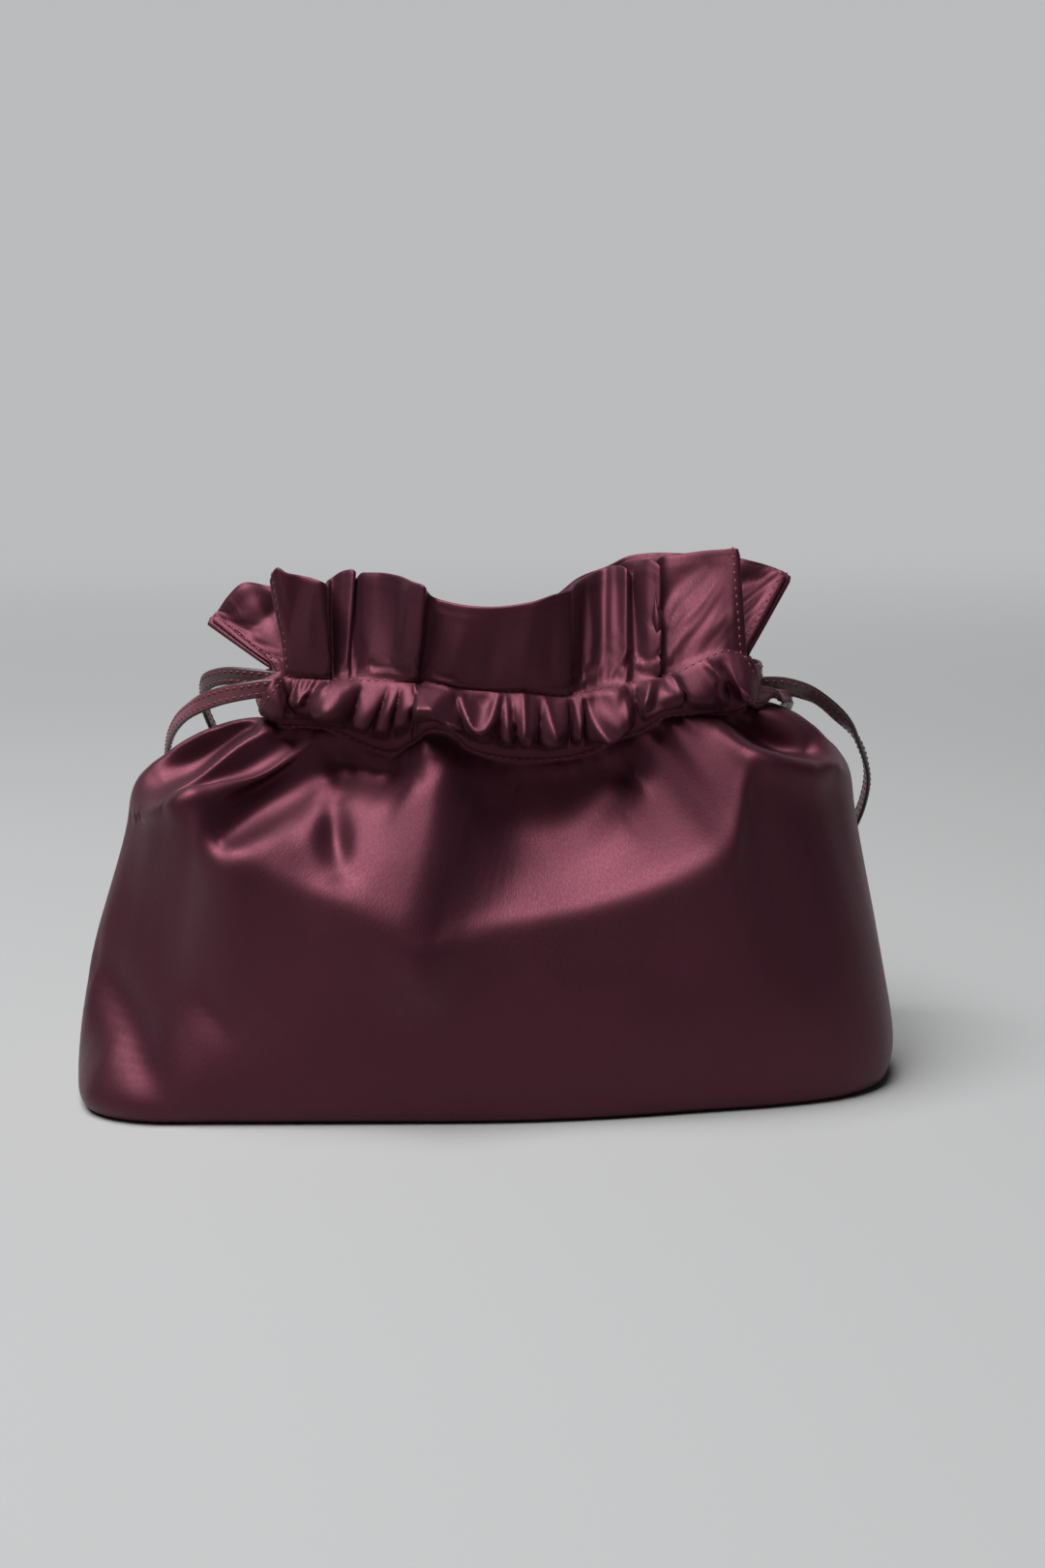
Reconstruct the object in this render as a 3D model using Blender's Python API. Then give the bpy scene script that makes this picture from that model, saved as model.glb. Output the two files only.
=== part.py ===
"""Kinchaku drawstring pouch of heavy satin, cinched by two flat leather drawstrings.

Metres, +Z up, front towards -Y. The origin is the middle of the base, on the surface it stands on.
Each side of the bag is one outer panel from the bottom seam up to the frill, a facing behind its
casing and frill, and a lining below the facing. Both drawstrings run round the whole neck, between
outer panel and facing: the left one leaves at the left slits and turns back at the right ones, and
the right one does the opposite.
"""
import math

import bpy
import bmesh
import numpy as np
from mathutils import Vector

# Body, from the base up: each rise is measured from the station below it
BASE_WIDTH = 0.3010
BASE_DEPTH = 0.0970
BASE_EDGE_RADIUS = 0.0140
BELLY_RISE = 0.0360
BELLY_WIDTH = 0.2920
BELLY_DEPTH = 0.1060
CHEST_RISE = 0.0380
CHEST_WIDTH = 0.2770
CHEST_DEPTH = 0.0940
SHOULDER_RISE = 0.0270
SHOULDER_WIDTH = 0.2600
SHOULDER_DEPTH = 0.0750
COLLAR_RISE = 0.0130
COLLAR_WIDTH = 0.2400
COLLAR_DEPTH = 0.0580
NECK_RISE = 0.0090
NECK_WIDTH = 0.1700
NECK_DEPTH = 0.0380

# The neck stands a little to the right of the base, and its middle sags
NECK_OFFSET = 0.0100
NECK_SAG = 0.0100
NECK_LEFT_DROP = 0.0030

# Casing, frill and side slits
CASING_HEIGHT = 0.0225
FRILL_HEIGHT = 0.0320
FACING_HEM = 0.0060
SLIT_GAP = 0.0150
MOUTH_DEPTH = 0.0500
FRONT_FRILL_FLARE = -0.0030
BACK_FRILL_FLARE = 0.0170
BACK_FRILL_DROOP = 0.0090

# Cloth and leather
OUTER_THICKNESS = 0.0009
INNER_THICKNESS = 0.0006
LAYER_GAP = 0.0003
STRAP_WIDTH = 0.0065
STRAP_THICKNESS = 0.0018
STRAP_ROOM = 0.0004
LANE_SPACE = 0.0013
TURN_DEPTH = 0.0050

# Gathers
PLEATS = 8
ROW_PLEAT_DEPTH = 0.0020
FRILL_PLEAT_DEPTH = 0.0034
CASING_PUFF = 0.0042
FACING_PUFF = 0.0016
LONG_FOLD_DEPTH = 0.0040
FOLD_REACH = 0.0520

# Facets: a pleat has six columns on the casing and frill, and three on the body
COLUMNS_PER_PLEAT = 6
FINE_COLUMNS = PLEATS * COLUMNS_PER_PLEAT
COARSE_COLUMNS = FINE_COLUMNS // 2
BASE_ROWS = 2
EDGE_ROWS = 3
BODY_ROWS = 7
FRILL_ROWS = 3
HELD_POINTS = 10
TURN_POINTS = 5
FREE_SPACING = 0.0150
PROBE = 0.0001

FRONT = Vector((0, -1, 0))
BACK = Vector((0, 1, 0))
LEFT = Vector((-1, 0, 0))
RIGHT = Vector((1, 0, 0))
DOWN = Vector((0, 0, -1))

# The free loops behind the bag: points chosen by hand, each with the way the strap's face looks
LEFT_LOOP = [
    ((-0.0840, -0.0068, 0.1482), FRONT),
    ((-0.0915, -0.0044, 0.1465), FRONT + LEFT),
    ((-0.0990, 0.0008, 0.1434), FRONT + LEFT),
    ((-0.1058, 0.0080, 0.1388), LEFT),
    ((-0.1116, 0.0175, 0.1325), LEFT),
    ((-0.1158, 0.0285, 0.1240), LEFT),
    ((-0.1180, 0.0395, 0.1135), LEFT),
    ((-0.1185, 0.0485, 0.1005), LEFT),
    ((-0.1175, 0.0540, 0.0850), LEFT),
    ((-0.1160, 0.0570, 0.0670), LEFT),
    ((-0.1150, 0.0585, 0.0490), LEFT),
    ((-0.1148, 0.0590, 0.0320), LEFT),
    ((-0.1135, 0.0590, 0.0160), LEFT + DOWN),
    ((-0.1065, 0.0590, 0.0050), LEFT + DOWN),
    ((-0.0965, 0.0590, 0.0016), DOWN),
    ((-0.0865, 0.0590, 0.0050), RIGHT + DOWN),
    ((-0.0800, 0.0590, 0.0160), RIGHT + DOWN),
    ((-0.0790, 0.0590, 0.0320), RIGHT),
    ((-0.0805, 0.0588, 0.0500), RIGHT),
    ((-0.0835, 0.0580, 0.0680), RIGHT),
    ((-0.0875, 0.0565, 0.0860), RIGHT),
    ((-0.0930, 0.0535, 0.1025), RIGHT),
    ((-0.0985, 0.0480, 0.1180), RIGHT),
    ((-0.1025, 0.0405, 0.1305), RIGHT),
    ((-0.1035, 0.0315, 0.1400), RIGHT),
    ((-0.1005, 0.0225, 0.1465), RIGHT + BACK),
    ((-0.0930, 0.0148, 0.1497), RIGHT + BACK),
    ((-0.0840, 0.0098, 0.1500), BACK),
]
RIGHT_LOOP = [
    ((0.1030, 0.0088, 0.1448), BACK),
    ((0.1120, 0.0105, 0.1440), BACK),
    ((0.1235, 0.0128, 0.1397), BACK + RIGHT),
    ((0.1345, 0.0170, 0.1305), BACK + RIGHT),
    ((0.1435, 0.0235, 0.1185), RIGHT),
    ((0.1485, 0.0315, 0.1055), RIGHT),
    ((0.1490, 0.0400, 0.0920), RIGHT),
    ((0.1460, 0.0475, 0.0780), RIGHT),
    ((0.1415, 0.0530, 0.0620), RIGHT),
    ((0.1370, 0.0565, 0.0460), RIGHT),
    ((0.1335, 0.0585, 0.0310), RIGHT),
    ((0.1295, 0.0590, 0.0165), RIGHT + DOWN),
    ((0.1210, 0.0590, 0.0055), RIGHT + DOWN),
    ((0.1100, 0.0590, 0.0016), DOWN),
    ((0.0990, 0.0590, 0.0050), LEFT + DOWN),
    ((0.0915, 0.0590, 0.0155), LEFT + DOWN),
    ((0.0895, 0.0590, 0.0310), LEFT),
    ((0.0905, 0.0588, 0.0480), LEFT),
    ((0.0930, 0.0580, 0.0650), LEFT),
    ((0.0965, 0.0562, 0.0820), LEFT),
    ((0.1010, 0.0525, 0.0980), LEFT),
    ((0.1065, 0.0460, 0.1125), LEFT),
    ((0.1120, 0.0370, 0.1240), LEFT),
    ((0.1148, 0.0270, 0.1322), LEFT),
    ((0.1148, 0.0165, 0.1376), LEFT),
    ((0.1115, 0.0066, 0.1408), LEFT + FRONT),
    ((0.1045, -0.0028, 0.1431), LEFT + FRONT),
]

SATIN = ("satin", (0.115, 0.018, 0.040), 0.36)
LINING = ("lining_cloth", (0.060, 0.012, 0.024), 0.55)
LEATHER = ("strap_leather", (0.070, 0.022, 0.028), 0.42)

# Heights and levels that follow from the sizes above
CLOTH_LEVEL = OUTER_THICKNESS + LAYER_GAP / 2
BELLY = BASE_EDGE_RADIUS + BELLY_RISE
CHEST = BELLY + CHEST_RISE
SHOULDER = CHEST + SHOULDER_RISE
COLLAR = SHOULDER + COLLAR_RISE
CASING_FOOT = COLLAR + NECK_RISE
CASING_TOP = CASING_FOOT + CASING_HEIGHT
FRILL_TOP = CASING_TOP + FRILL_HEIGHT
FACING_FOOT = CASING_FOOT - FACING_HEM
LINING_TOP = FACING_FOOT - LAYER_GAP
LANE_HALF = (STRAP_WIDTH + LANE_SPACE) / 2
TUNNEL_HALF = STRAP_THICKNESS / 2 + STRAP_ROOM
CLEAR_SHARE = (CASING_HEIGHT / 2 - LANE_HALF - STRAP_WIDTH / 2 - STRAP_ROOM) / CASING_HEIGHT

# Height, half width, half depth, and how square the plan is: 2 is an ellipse
STATIONS = np.array([
    (BASE_EDGE_RADIUS, BASE_WIDTH / 2, BASE_DEPTH / 2, 4.2),
    (BELLY, BELLY_WIDTH / 2, BELLY_DEPTH / 2, 3.4),
    (CHEST, CHEST_WIDTH / 2, CHEST_DEPTH / 2, 3.0),
    (SHOULDER, SHOULDER_WIDTH / 2, SHOULDER_DEPTH / 2, 2.6),
    (COLLAR, COLLAR_WIDTH / 2, COLLAR_DEPTH / 2, 2.3),
    (CASING_FOOT, NECK_WIDTH / 2, NECK_DEPTH / 2, 2.0),
])


def smooth_step(value, low, high):
    """0 below low, 1 above high, and a soft S between."""
    share = np.clip((value - low) / (high - low), 0.0, 1.0)
    return share * share * (3.0 - 2.0 * share)


def station_at(height):
    """Half width, half depth and squareness of the plan at a height of the body or neck."""
    heights = STATIONS[:, 0]
    values = STATIONS[:, 1:]
    if height >= heights[-1]:
        return values[-1]
    i = int(np.clip(np.searchsorted(heights, height) - 1, 0, len(heights) - 2))
    slopes = np.diff(values, axis=0) / np.diff(heights)[:, None]
    mean_slopes = np.vstack([slopes[:1], (slopes[:-1] + slopes[1:]) / 2, slopes[-1:]])
    span = heights[i + 1] - heights[i]
    t = (height - heights[i]) / span
    start, end = values[i], values[i + 1]
    return (start * (2 * t**3 - 3 * t**2 + 1) + end * (3 * t**2 - 2 * t**3)
            + span * (mean_slopes[i] * (t**3 - 2 * t**2 + t) + mean_slopes[i + 1] * (t**3 - t**2)))


def plan_curve(half_width, half_depth, edge, squareness, shares):
    """Points (x, distance from the middle plane) of one side's plan, evenly spaced along it."""
    openness = smooth_step(squareness, 2.0, 2.6)
    power = openness * 2.0 / squareness + (1 - openness) * 2.0
    angle = np.linspace(math.pi, 0.0, 721)
    cosine = np.cos(angle)
    x = half_width * np.sign(cosine) * np.abs(cosine) ** (2.0 / squareness)
    y = edge + (half_depth - edge) * np.abs(np.sin(angle)) ** power
    along = np.concatenate([[0.0], np.cumsum(np.hypot(np.diff(x), np.diff(y)))])
    along /= along[-1]
    return np.interp(shares, along, x), np.interp(shares, along, y)


def level_points(side, height, shares):
    """The cloth's middle surface at one height; side is -1 for the front and 1 for the back."""
    half_width, half_depth, squareness = station_at(height)
    slit = smooth_step(height, CASING_FOOT - FACING_HEM, CASING_FOOT)
    edge = LAYER_GAP / 2 + slit * (SLIT_GAP / 2 - LAYER_GAP / 2)
    rise = smooth_step(height, CASING_TOP, FRILL_TOP)
    flare = BACK_FRILL_FLARE if side > 0 else FRONT_FRILL_FLARE
    half_width = half_width + rise * flare
    half_depth = half_depth + rise * (MOUTH_DEPTH - NECK_DEPTH) / 2
    x, y = plan_curve(half_width, half_depth, edge, squareness, shares)
    across = np.clip(x / half_width, -1.0, 1.0)
    sag = NECK_SAG * smooth_step(height, BELLY, CASING_FOOT) * (1.0 - across**2)
    sag = sag + NECK_LEFT_DROP * slit * smooth_step(-across, 0.3, 1.0)
    if side > 0:
        sag = sag + BACK_FRILL_DROOP * rise * across**4
    x = x + NECK_OFFSET * smooth_step(height, BASE_EDGE_RADIUS, CASING_FOOT)
    return np.stack([x, side * y, height - sag], axis=1)


def base_points(side, turn, shares):
    """The rounded bottom edge: turn is 0 at the wall and 1 where the base is flat."""
    inset = BASE_EDGE_RADIUS * (1.0 - math.cos(turn * math.pi / 2))
    height = BASE_EDGE_RADIUS - (BASE_EDGE_RADIUS - CLOTH_LEVEL) * math.sin(turn * math.pi / 2)
    half_width, half_depth, squareness = station_at(BASE_EDGE_RADIUS)
    x, y = plan_curve(half_width - inset, half_depth - inset, LAYER_GAP / 2, squareness, shares)
    return np.stack([x, side * y, np.full_like(x, height)], axis=1)


def floor_points(side, share, shares):
    """The flat base: share is 1 at its outline and 0 along the bottom seam."""
    outline = base_points(side, 1.0, shares)
    reach = outline[-1, 0]
    outline[:, 0] = share * outline[:, 0] + (1 - share) * reach * (2 * shares - 1)
    outline[:, 1] = side * (LAYER_GAP / 2 + share * (np.abs(outline[:, 1]) - LAYER_GAP / 2))
    return outline


def even(columns):
    return np.linspace(0.0, 1.0, columns + 1)


def normals_of(below, here, above, side, sealed):
    """Outward directions along one level, from its neighbours; a seam edge keeps to the seam."""
    along = np.gradient(here, axis=0)
    up = above - below
    out = np.cross(along, up) * (-side)
    out /= np.linalg.norm(out, axis=1)[:, None]
    if sealed:
        out[[0, -1], 1] = 0.0
        out /= np.linalg.norm(out, axis=1)[:, None]
    return out


class Level:
    """One row of the cloth: where its middle surface lies, and how gathered it is there."""

    def __init__(self, side, columns, kind, value):
        self.side = side
        self.kind = kind
        self.value = value
        self.shares = even(columns)
        self.points = self.place(value)
        below = self.place(value - PROBE)
        above = self.place(value + PROBE)
        if kind == "edge":
            below, above = above, below
        sealed = kind != "wall" or value <= FACING_FOOT
        if kind == "floor":
            self.normals = np.tile((0.0, 0.0, -1.0), (columns + 1, 1))
        else:
            self.normals = normals_of(below, self.points, above, side, sealed)

    def place(self, value):
        maker = {"wall": level_points, "edge": base_points, "floor": floor_points}[self.kind]
        return maker(self.side, value, self.shares)

    def tunnel(self):
        """0 on the two stitch rows and outside the casing, 1 where the drawstrings run."""
        if self.kind != "wall":
            return 0.0
        share = (self.value - CASING_FOOT) / CASING_HEIGHT
        return float(np.clip(min(share, 1.0 - share) / CLEAR_SHARE, 0.0, 1.0))

    def gather(self):
        """How far the pleats push the cloth out along the level."""
        if self.kind != "wall":
            return np.zeros_like(self.shares)
        foot = smooth_step(self.value, FACING_FOOT - FACING_HEM, CASING_FOOT)
        rise = smooth_step(self.value, CASING_TOP, FRILL_TOP)
        short = (ROW_PLEAT_DEPTH * foot + (FRILL_PLEAT_DEPTH - ROW_PLEAT_DEPTH) * rise)
        reach = smooth_step(self.value, CASING_FOOT - FOLD_REACH, FACING_FOOT)
        long = LONG_FOLD_DEPTH * reach * (1.0 - smooth_step(self.value, FACING_FOOT, CASING_FOOT))
        window = smooth_step(np.minimum(self.shares, 1.0 - self.shares), 0.0, 0.08)
        wave = short * np.cos(2 * math.pi * PLEATS * self.shares)
        fold = long * np.cos(math.pi * PLEATS * self.shares + 0.6)
        return window * (1.0 - self.tunnel()) * (wave + fold)

    def puff(self):
        """Share of the casing's puff at each column, full on a pleat and none between two."""
        arch = math.sin(math.pi * np.clip((self.value - CASING_FOOT) / CASING_HEIGHT, 0.0, 1.0))
        window = smooth_step(np.minimum(self.shares, 1.0 - self.shares), 0.0, 0.05)
        return window * arch * (0.5 + 0.5 * np.cos(2 * math.pi * PLEATS * self.shares))

    def offset(self, distance):
        return self.points + self.normals * np.reshape(distance, (-1, 1))


def outer_faces(level):
    """Inner and outer face of the outer panel on a level."""
    inner = LAYER_GAP / 2 + level.gather()
    if level.kind == "wall" and level.tunnel() > 0:
        inner = inner + level.tunnel() * (TUNNEL_HALF + CASING_PUFF * level.puff())
    return level.offset(inner), level.offset(inner + OUTER_THICKNESS)


def facing_faces(level):
    """Inner and outer face of the facing or the lining, just inside the outer panel."""
    outer = level.gather() - LAYER_GAP / 2
    if level.kind == "wall" and level.tunnel() > 0:
        outer = outer - level.tunnel() * (TUNNEL_HALF + FACING_PUFF * level.puff())
    return level.offset(outer - INNER_THICKNESS), level.offset(outer)


def stitch_rows(low, high):
    """Triangles between two rows of points, the same on every layer so that no two cross."""
    faces = []
    if len(low) == len(high):
        for i in range(len(low) - 1):
            faces.append((low[i], low[i + 1], high[i + 1]))
            faces.append((low[i], high[i + 1], high[i]))
        return faces
    for i in range(len(low) - 1):
        faces.append((low[i], high[2 * i + 1], high[2 * i]))
        faces.append((low[i], low[i + 1], high[2 * i + 1]))
        faces.append((low[i + 1], high[2 * i + 2], high[2 * i + 1]))
    return faces


def cloth_solid(name, levels, faces_of, material):
    """A closed sheet of cloth through levels, with its two faces from faces_of."""
    bm = bmesh.new()
    inner_rows = []
    outer_rows = []
    for level in levels:
        inner, outer = faces_of(level)
        inner_rows.append([bm.verts.new(p) for p in inner])
        outer_rows.append([bm.verts.new(p) for p in outer])
    for k in range(len(levels) - 1):
        for face in stitch_rows(outer_rows[k], outer_rows[k + 1]):
            bm.faces.new(face)
        for face in stitch_rows(inner_rows[k], inner_rows[k + 1]):
            bm.faces.new(face[::-1])
        for column in (0, -1):
            bm.faces.new((outer_rows[k][column], outer_rows[k + 1][column],
                          inner_rows[k + 1][column], inner_rows[k][column]))
    for inner, outer in ((inner_rows[0], outer_rows[0]), (inner_rows[-1], outer_rows[-1])):
        for i in range(len(inner) - 1):
            bm.faces.new((inner[i], inner[i + 1], outer[i + 1], outer[i]))
    bmesh.ops.recalc_face_normals(bm, faces=bm.faces)
    mesh = bpy.data.meshes.new(name)
    bm.to_mesh(mesh)
    bm.free()
    mesh.shade_smooth()
    return link(name, mesh, material)


def link(name, data, material):
    obj = bpy.data.objects.new(name, data)
    obj.data.materials.append(material)
    bpy.context.scene.collection.objects.link(obj)
    return obj


def finish(name, colour, roughness):
    material = bpy.data.materials.new(name)
    material.use_nodes = True
    shader = material.node_tree.nodes["Principled BSDF"]
    shader.inputs["Base Color"].default_value = (*colour, 1.0)
    shader.inputs["Roughness"].default_value = roughness
    shader.inputs["Metallic"].default_value = 0.0
    return material


def base_levels(side):
    """The flat base out from the bottom seam, then the rounded edge up to the wall."""
    levels = [Level(side, COARSE_COLUMNS, "floor", k / BASE_ROWS) for k in range(BASE_ROWS)]
    levels += [Level(side, COARSE_COLUMNS, "edge", 1.0 - k / EDGE_ROWS) for k in range(EDGE_ROWS)]
    return levels


def wall_heights():
    """Body rows, closer together towards the neck where the plan changes fast."""
    shares = np.linspace(0.0, 1.0, BODY_ROWS + 1)
    top = FACING_FOOT - 0.7 * FACING_HEM
    return BASE_EDGE_RADIUS + (top - BASE_EDGE_RADIUS) * (1.0 - (1.0 - shares) ** 1.35)


def casing_heights():
    """The two stitch rows, and the three rows between them that the casing opens over."""
    shares = (0.0, CLEAR_SHARE, 0.5, 1.0 - CLEAR_SHARE, 1.0)
    return [CASING_FOOT + share * CASING_HEIGHT for share in shares]


def frill_heights():
    return [CASING_TOP + FRILL_HEIGHT * (k + 1) / FRILL_ROWS for k in range(FRILL_ROWS)]


def make_side(side, place, satin, lining_cloth):
    """The three pieces of cloth of one side of the bag."""
    base = base_levels(side)
    body = [Level(side, COARSE_COLUMNS, "wall", h) for h in wall_heights()]
    neck = [Level(side, FINE_COLUMNS, "wall", FACING_FOOT)]
    neck += [Level(side, FINE_COLUMNS, "wall", h) for h in casing_heights() + frill_heights()]
    lining_top = Level(side, FINE_COLUMNS, "wall", LINING_TOP)
    cloth_solid(f"outer_{place}_panel", base + body + neck, outer_faces, satin)
    cloth_solid(f"{place}_facing", neck, facing_faces, satin)
    cloth_solid(f"{place}_lining", base + body + [lining_top], facing_faces, lining_cloth)


def held_run(side, height):
    """A drawstring's run through one casing from left to right, with the way its face looks."""
    level = Level(side, HELD_POINTS, "wall", height)
    facings = level.normals.copy()
    facings[:, 2] = 0.0
    return [(Vector(p), Vector(n)) for p, n in zip(level.points, facings)]


def turn_back(start, end, outward):
    """The flat half turn across the slits from one casing into the other."""
    middle = (start + end) / 2
    radius = (end - start) / 2
    points = []
    for k in range(1, TURN_POINTS + 1):
        angle = math.pi * k / (TURN_POINTS + 1)
        place = middle + outward * (TURN_DEPTH * math.sin(angle)) - radius * math.cos(angle)
        across = outward * (math.sin(angle) * radius.length)
        points.append((place, across - radius.normalized() * (TURN_DEPTH * math.cos(angle))))
    return points


def through(points, spacing):
    """A smooth curve through hand-chosen (point, facing) pairs, read every spacing."""
    knots = [p for p, _ in points]
    curve = []
    for i in range(len(knots) - 1):
        before = knots[max(i - 1, 0)]
        after = knots[min(i + 2, len(knots) - 1)]
        for k in range(8):
            t = k / 8
            a, b = knots[i], knots[i + 1]
            slope_a = (b - before) / 2
            slope_b = (after - a) / 2
            place = (a * (2 * t**3 - 3 * t**2 + 1) + b * (3 * t**2 - 2 * t**3)
                     + slope_a * (t**3 - 2 * t**2 + t) + slope_b * (t**3 - t**2))
            facing = points[i][1].normalized().lerp(points[i + 1][1].normalized(), t)
            curve.append((place, facing))
    curve.append(points[-1])
    gaps = [(curve[i + 1][0] - curve[i][0]).length for i in range(len(curve) - 1)]
    along = np.concatenate([[0.0], np.cumsum(gaps)])
    count = max(2, round(along[-1] / spacing))
    picks = [int(np.argmin(np.abs(along - along[-1] * k / count))) for k in range(1, count)]
    return [curve[i] for i in picks]


def drawstring(name, height, exits_left, loop, material):
    """One closed strap: both held runs, the half turn on one side and the free loop on the other."""
    front = held_run(-1, height)
    back = held_run(1, height)
    free = [(Vector(p), facing) for p, facing in loop]
    if exits_left:
        turn = turn_back(front[-1][0], back[-1][0], RIGHT)
        loop_points = through([front[0]] + free + [back[0]], FREE_SPACING)
        route = front[::-1] + loop_points + back + turn[::-1]
    else:
        turn = turn_back(front[0][0], back[0][0], LEFT)
        loop_points = through([back[-1]] + free + [front[-1]], FREE_SPACING)
        route = back + loop_points + front[::-1] + turn
    return strap_curve(name, route, material)


def strap_curve(name, route, material):
    """A flat strap with rounded edges along a closed route of (point, facing) pairs."""
    curve = bpy.data.curves.new(name, "CURVE")
    curve.dimensions = "3D"
    curve.twist_mode = "Z_UP"
    curve.fill_mode = "FULL"
    curve.bevel_depth = STRAP_THICKNESS / 2
    curve.extrude = STRAP_WIDTH / 2 - STRAP_THICKNESS / 2
    curve.bevel_resolution = 2
    curve.use_fill_caps = True
    spline = curve.splines.new("POLY")
    spline.points.add(len(route) - 1)
    spline.use_cyclic_u = True
    for i, (place, facing) in enumerate(route):
        before = (place - route[i - 1][0]).normalized()
        after = (route[(i + 1) % len(route)][0] - place).normalized()
        run = (before + after).normalized()
        upright = (Vector((0, 0, 1)) - run * run.z).normalized()
        across = run.cross(facing).normalized()
        if across.dot(upright) < 0 and abs(run.z) < 0.7:
            across = -across
        spline.points[i].co = (*place, 1.0)
        spline.points[i].tilt = math.atan2(run.dot(upright.cross(across)), upright.dot(across))
    return link(name, curve, material)


def main():
    for obj in list(bpy.data.objects):
        bpy.data.objects.remove(obj)
    satin = finish(*SATIN)
    lining_cloth = finish(*LINING)
    leather = finish(*LEATHER)
    make_side(-1, "front", satin, lining_cloth)
    make_side(1, "back", satin, lining_cloth)
    lane_middle = CASING_FOOT + CASING_HEIGHT / 2
    drawstring("drawstring_left", lane_middle + LANE_HALF, True, LEFT_LOOP, leather)
    drawstring("drawstring_right", lane_middle - LANE_HALF, False, RIGHT_LOOP, leather)


main()
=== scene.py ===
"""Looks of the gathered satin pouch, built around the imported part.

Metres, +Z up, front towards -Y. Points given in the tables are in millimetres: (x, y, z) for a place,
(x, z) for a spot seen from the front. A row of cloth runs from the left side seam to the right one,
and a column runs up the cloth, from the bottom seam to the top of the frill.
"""
import math

import bpy
import numpy as np
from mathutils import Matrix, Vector


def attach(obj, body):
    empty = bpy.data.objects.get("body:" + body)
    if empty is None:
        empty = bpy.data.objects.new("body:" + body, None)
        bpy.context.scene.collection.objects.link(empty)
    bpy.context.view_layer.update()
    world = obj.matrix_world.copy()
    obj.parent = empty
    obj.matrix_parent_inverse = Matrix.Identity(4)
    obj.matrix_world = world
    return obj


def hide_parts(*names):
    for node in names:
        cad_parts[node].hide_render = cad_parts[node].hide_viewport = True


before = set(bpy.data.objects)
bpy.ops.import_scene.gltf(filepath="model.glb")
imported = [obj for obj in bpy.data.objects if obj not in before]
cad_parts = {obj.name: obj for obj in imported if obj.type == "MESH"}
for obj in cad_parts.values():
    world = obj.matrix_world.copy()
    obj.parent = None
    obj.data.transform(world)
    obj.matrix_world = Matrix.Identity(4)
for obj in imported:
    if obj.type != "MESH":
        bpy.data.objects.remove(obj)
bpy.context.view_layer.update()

MM = 0.001
TINY = 1e-12

# Cloth and leather
OUTER_THICKNESS = 0.9 * MM
INNER_THICKNESS = 0.6 * MM
LAYER_GAP = 0.35 * MM
SEAM_GAP = 0.15 * MM
OUTER_LIFT = 0.3 * MM
LINING_LIFT = 1.6 * MM
STRAP_WIDTH = 6.5 * MM
STRAP_THICKNESS = 1.8 * MM
STRAP_STEP = 1.1 * MM

# Stitches; the ends of each lie lower than its middle by a quarter of the bow, in thread widths
STITCH_PITCH = 2.9 * MM
STITCH_LENGTH = 2.1 * MM
THREAD_WIDTH = 0.75 * MM
THREAD_SIDES = 6
THREAD_PARTS = 4
STITCH_BOW = 3.2
STRAP_STITCH_INSET = 1.6 * MM
HEM_STITCH = 2.1 * MM
SLIT_START = 3

# The width of the flat cut of each side, before it was gathered; the cloth's map gives every row this width
PANEL_WIDTH = 0.398

# The neck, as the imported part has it: the drawstrings lie in two lanes inside the casing
NECK_HALF_WIDTH = 85.0
NECK_HALF_DEPTH = 19.0
NECK_EDGE = 7.5
NECK_OFFSET = 10.0
NECK_SAG = 10.0
NECK_LEFT_DROP = 3.0
LANE_MIDDLE = 148.25
LANE_HALF = 3.9
TURN_DEPTH = 5.0
HELD_POINTS = 10
TURN_POINTS = 5
NECK_SAMPLES = 721
LOOP_SAMPLES = 40
LOOP_OVERLAP = 3

# Columns and rows of cloth
COLUMNS = 300
BASE_ROWS = 10
CORNER_ROWS = 3
WALL_ROWS = (5, 12, 8, 5)
SLOPE_ROWS = (7, 9, 9, 7, 5)
CASING_ROWS = 24
FRILL_ROWS = 28
CURVE_SAMPLES = 24
FOLD_SAMPLES = 40
SMALLEST_GAP = 1e-5

# The body: the rows between its stations, the bend at its crest, and the scoop above it
CORNER_SHARE = (0.55, 0.55, 0.18)
UNDER_CREST = (1.01, 1.02, 1)
UNDER_CREST_DROP = 11 * MM
SLOPE_SHARES = (0.16, 0.4, 0.66, 0.87)
CREST_REACH = 7.0
CREST_SOFTNESS = 10
SCOOP_DEPTH = 3.0
SCOOP_SPAN = (0.2, 0.35)
SHOULDER_RISE = 7.0
SHOULDER_SPAN = 0.1
FOLDS_BEGIN = (3 * MM, 12 * MM)
SEAM_FADE = 0.02

# Waves of the small folds under the casing: how many, how far down they reach, how high they are
GATHER_WAVES = ((70, 5, 0.6), (34, 9, 0.9), (16, 20, 0.6))
GATHER_START = 1.2 * MM

# The casing: its room round the drawstrings, its pulled ends, and the cushions between tucks
CASING_ROOM = 2.9
CASING_END = 0.04
END_PULL = (-5.0, 3.0)
PUFF_FOOT = 0.45
PUFF_SHOULDER = 0.08
PUFF_FADE = 0.015
PUFF_DROOP = (0, 0, -0.45)
CREASE_GAIN = 1.5

# The frill: how deep its pleats are, how soon they open, and the fine waves at its foot
PLEAT_DEPTH = np.array((1.0, 1.25, 1.0))
PLEAT_OPENING = 0.45
PLAIN_TIMES = 1000
FOOT_CALM = 12
FRILL_WAVES = 46
FRILL_WAVE_HEIGHT = 0.5
FRILL_WAVE_FALL = 5

# A crisp fold's section: how fast it falls off, and how round its ridge is
CRISP_FALL = 1.6
CRISP_ROUNDING = 0.02
CRISP_LEVEL = 0.141

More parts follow.
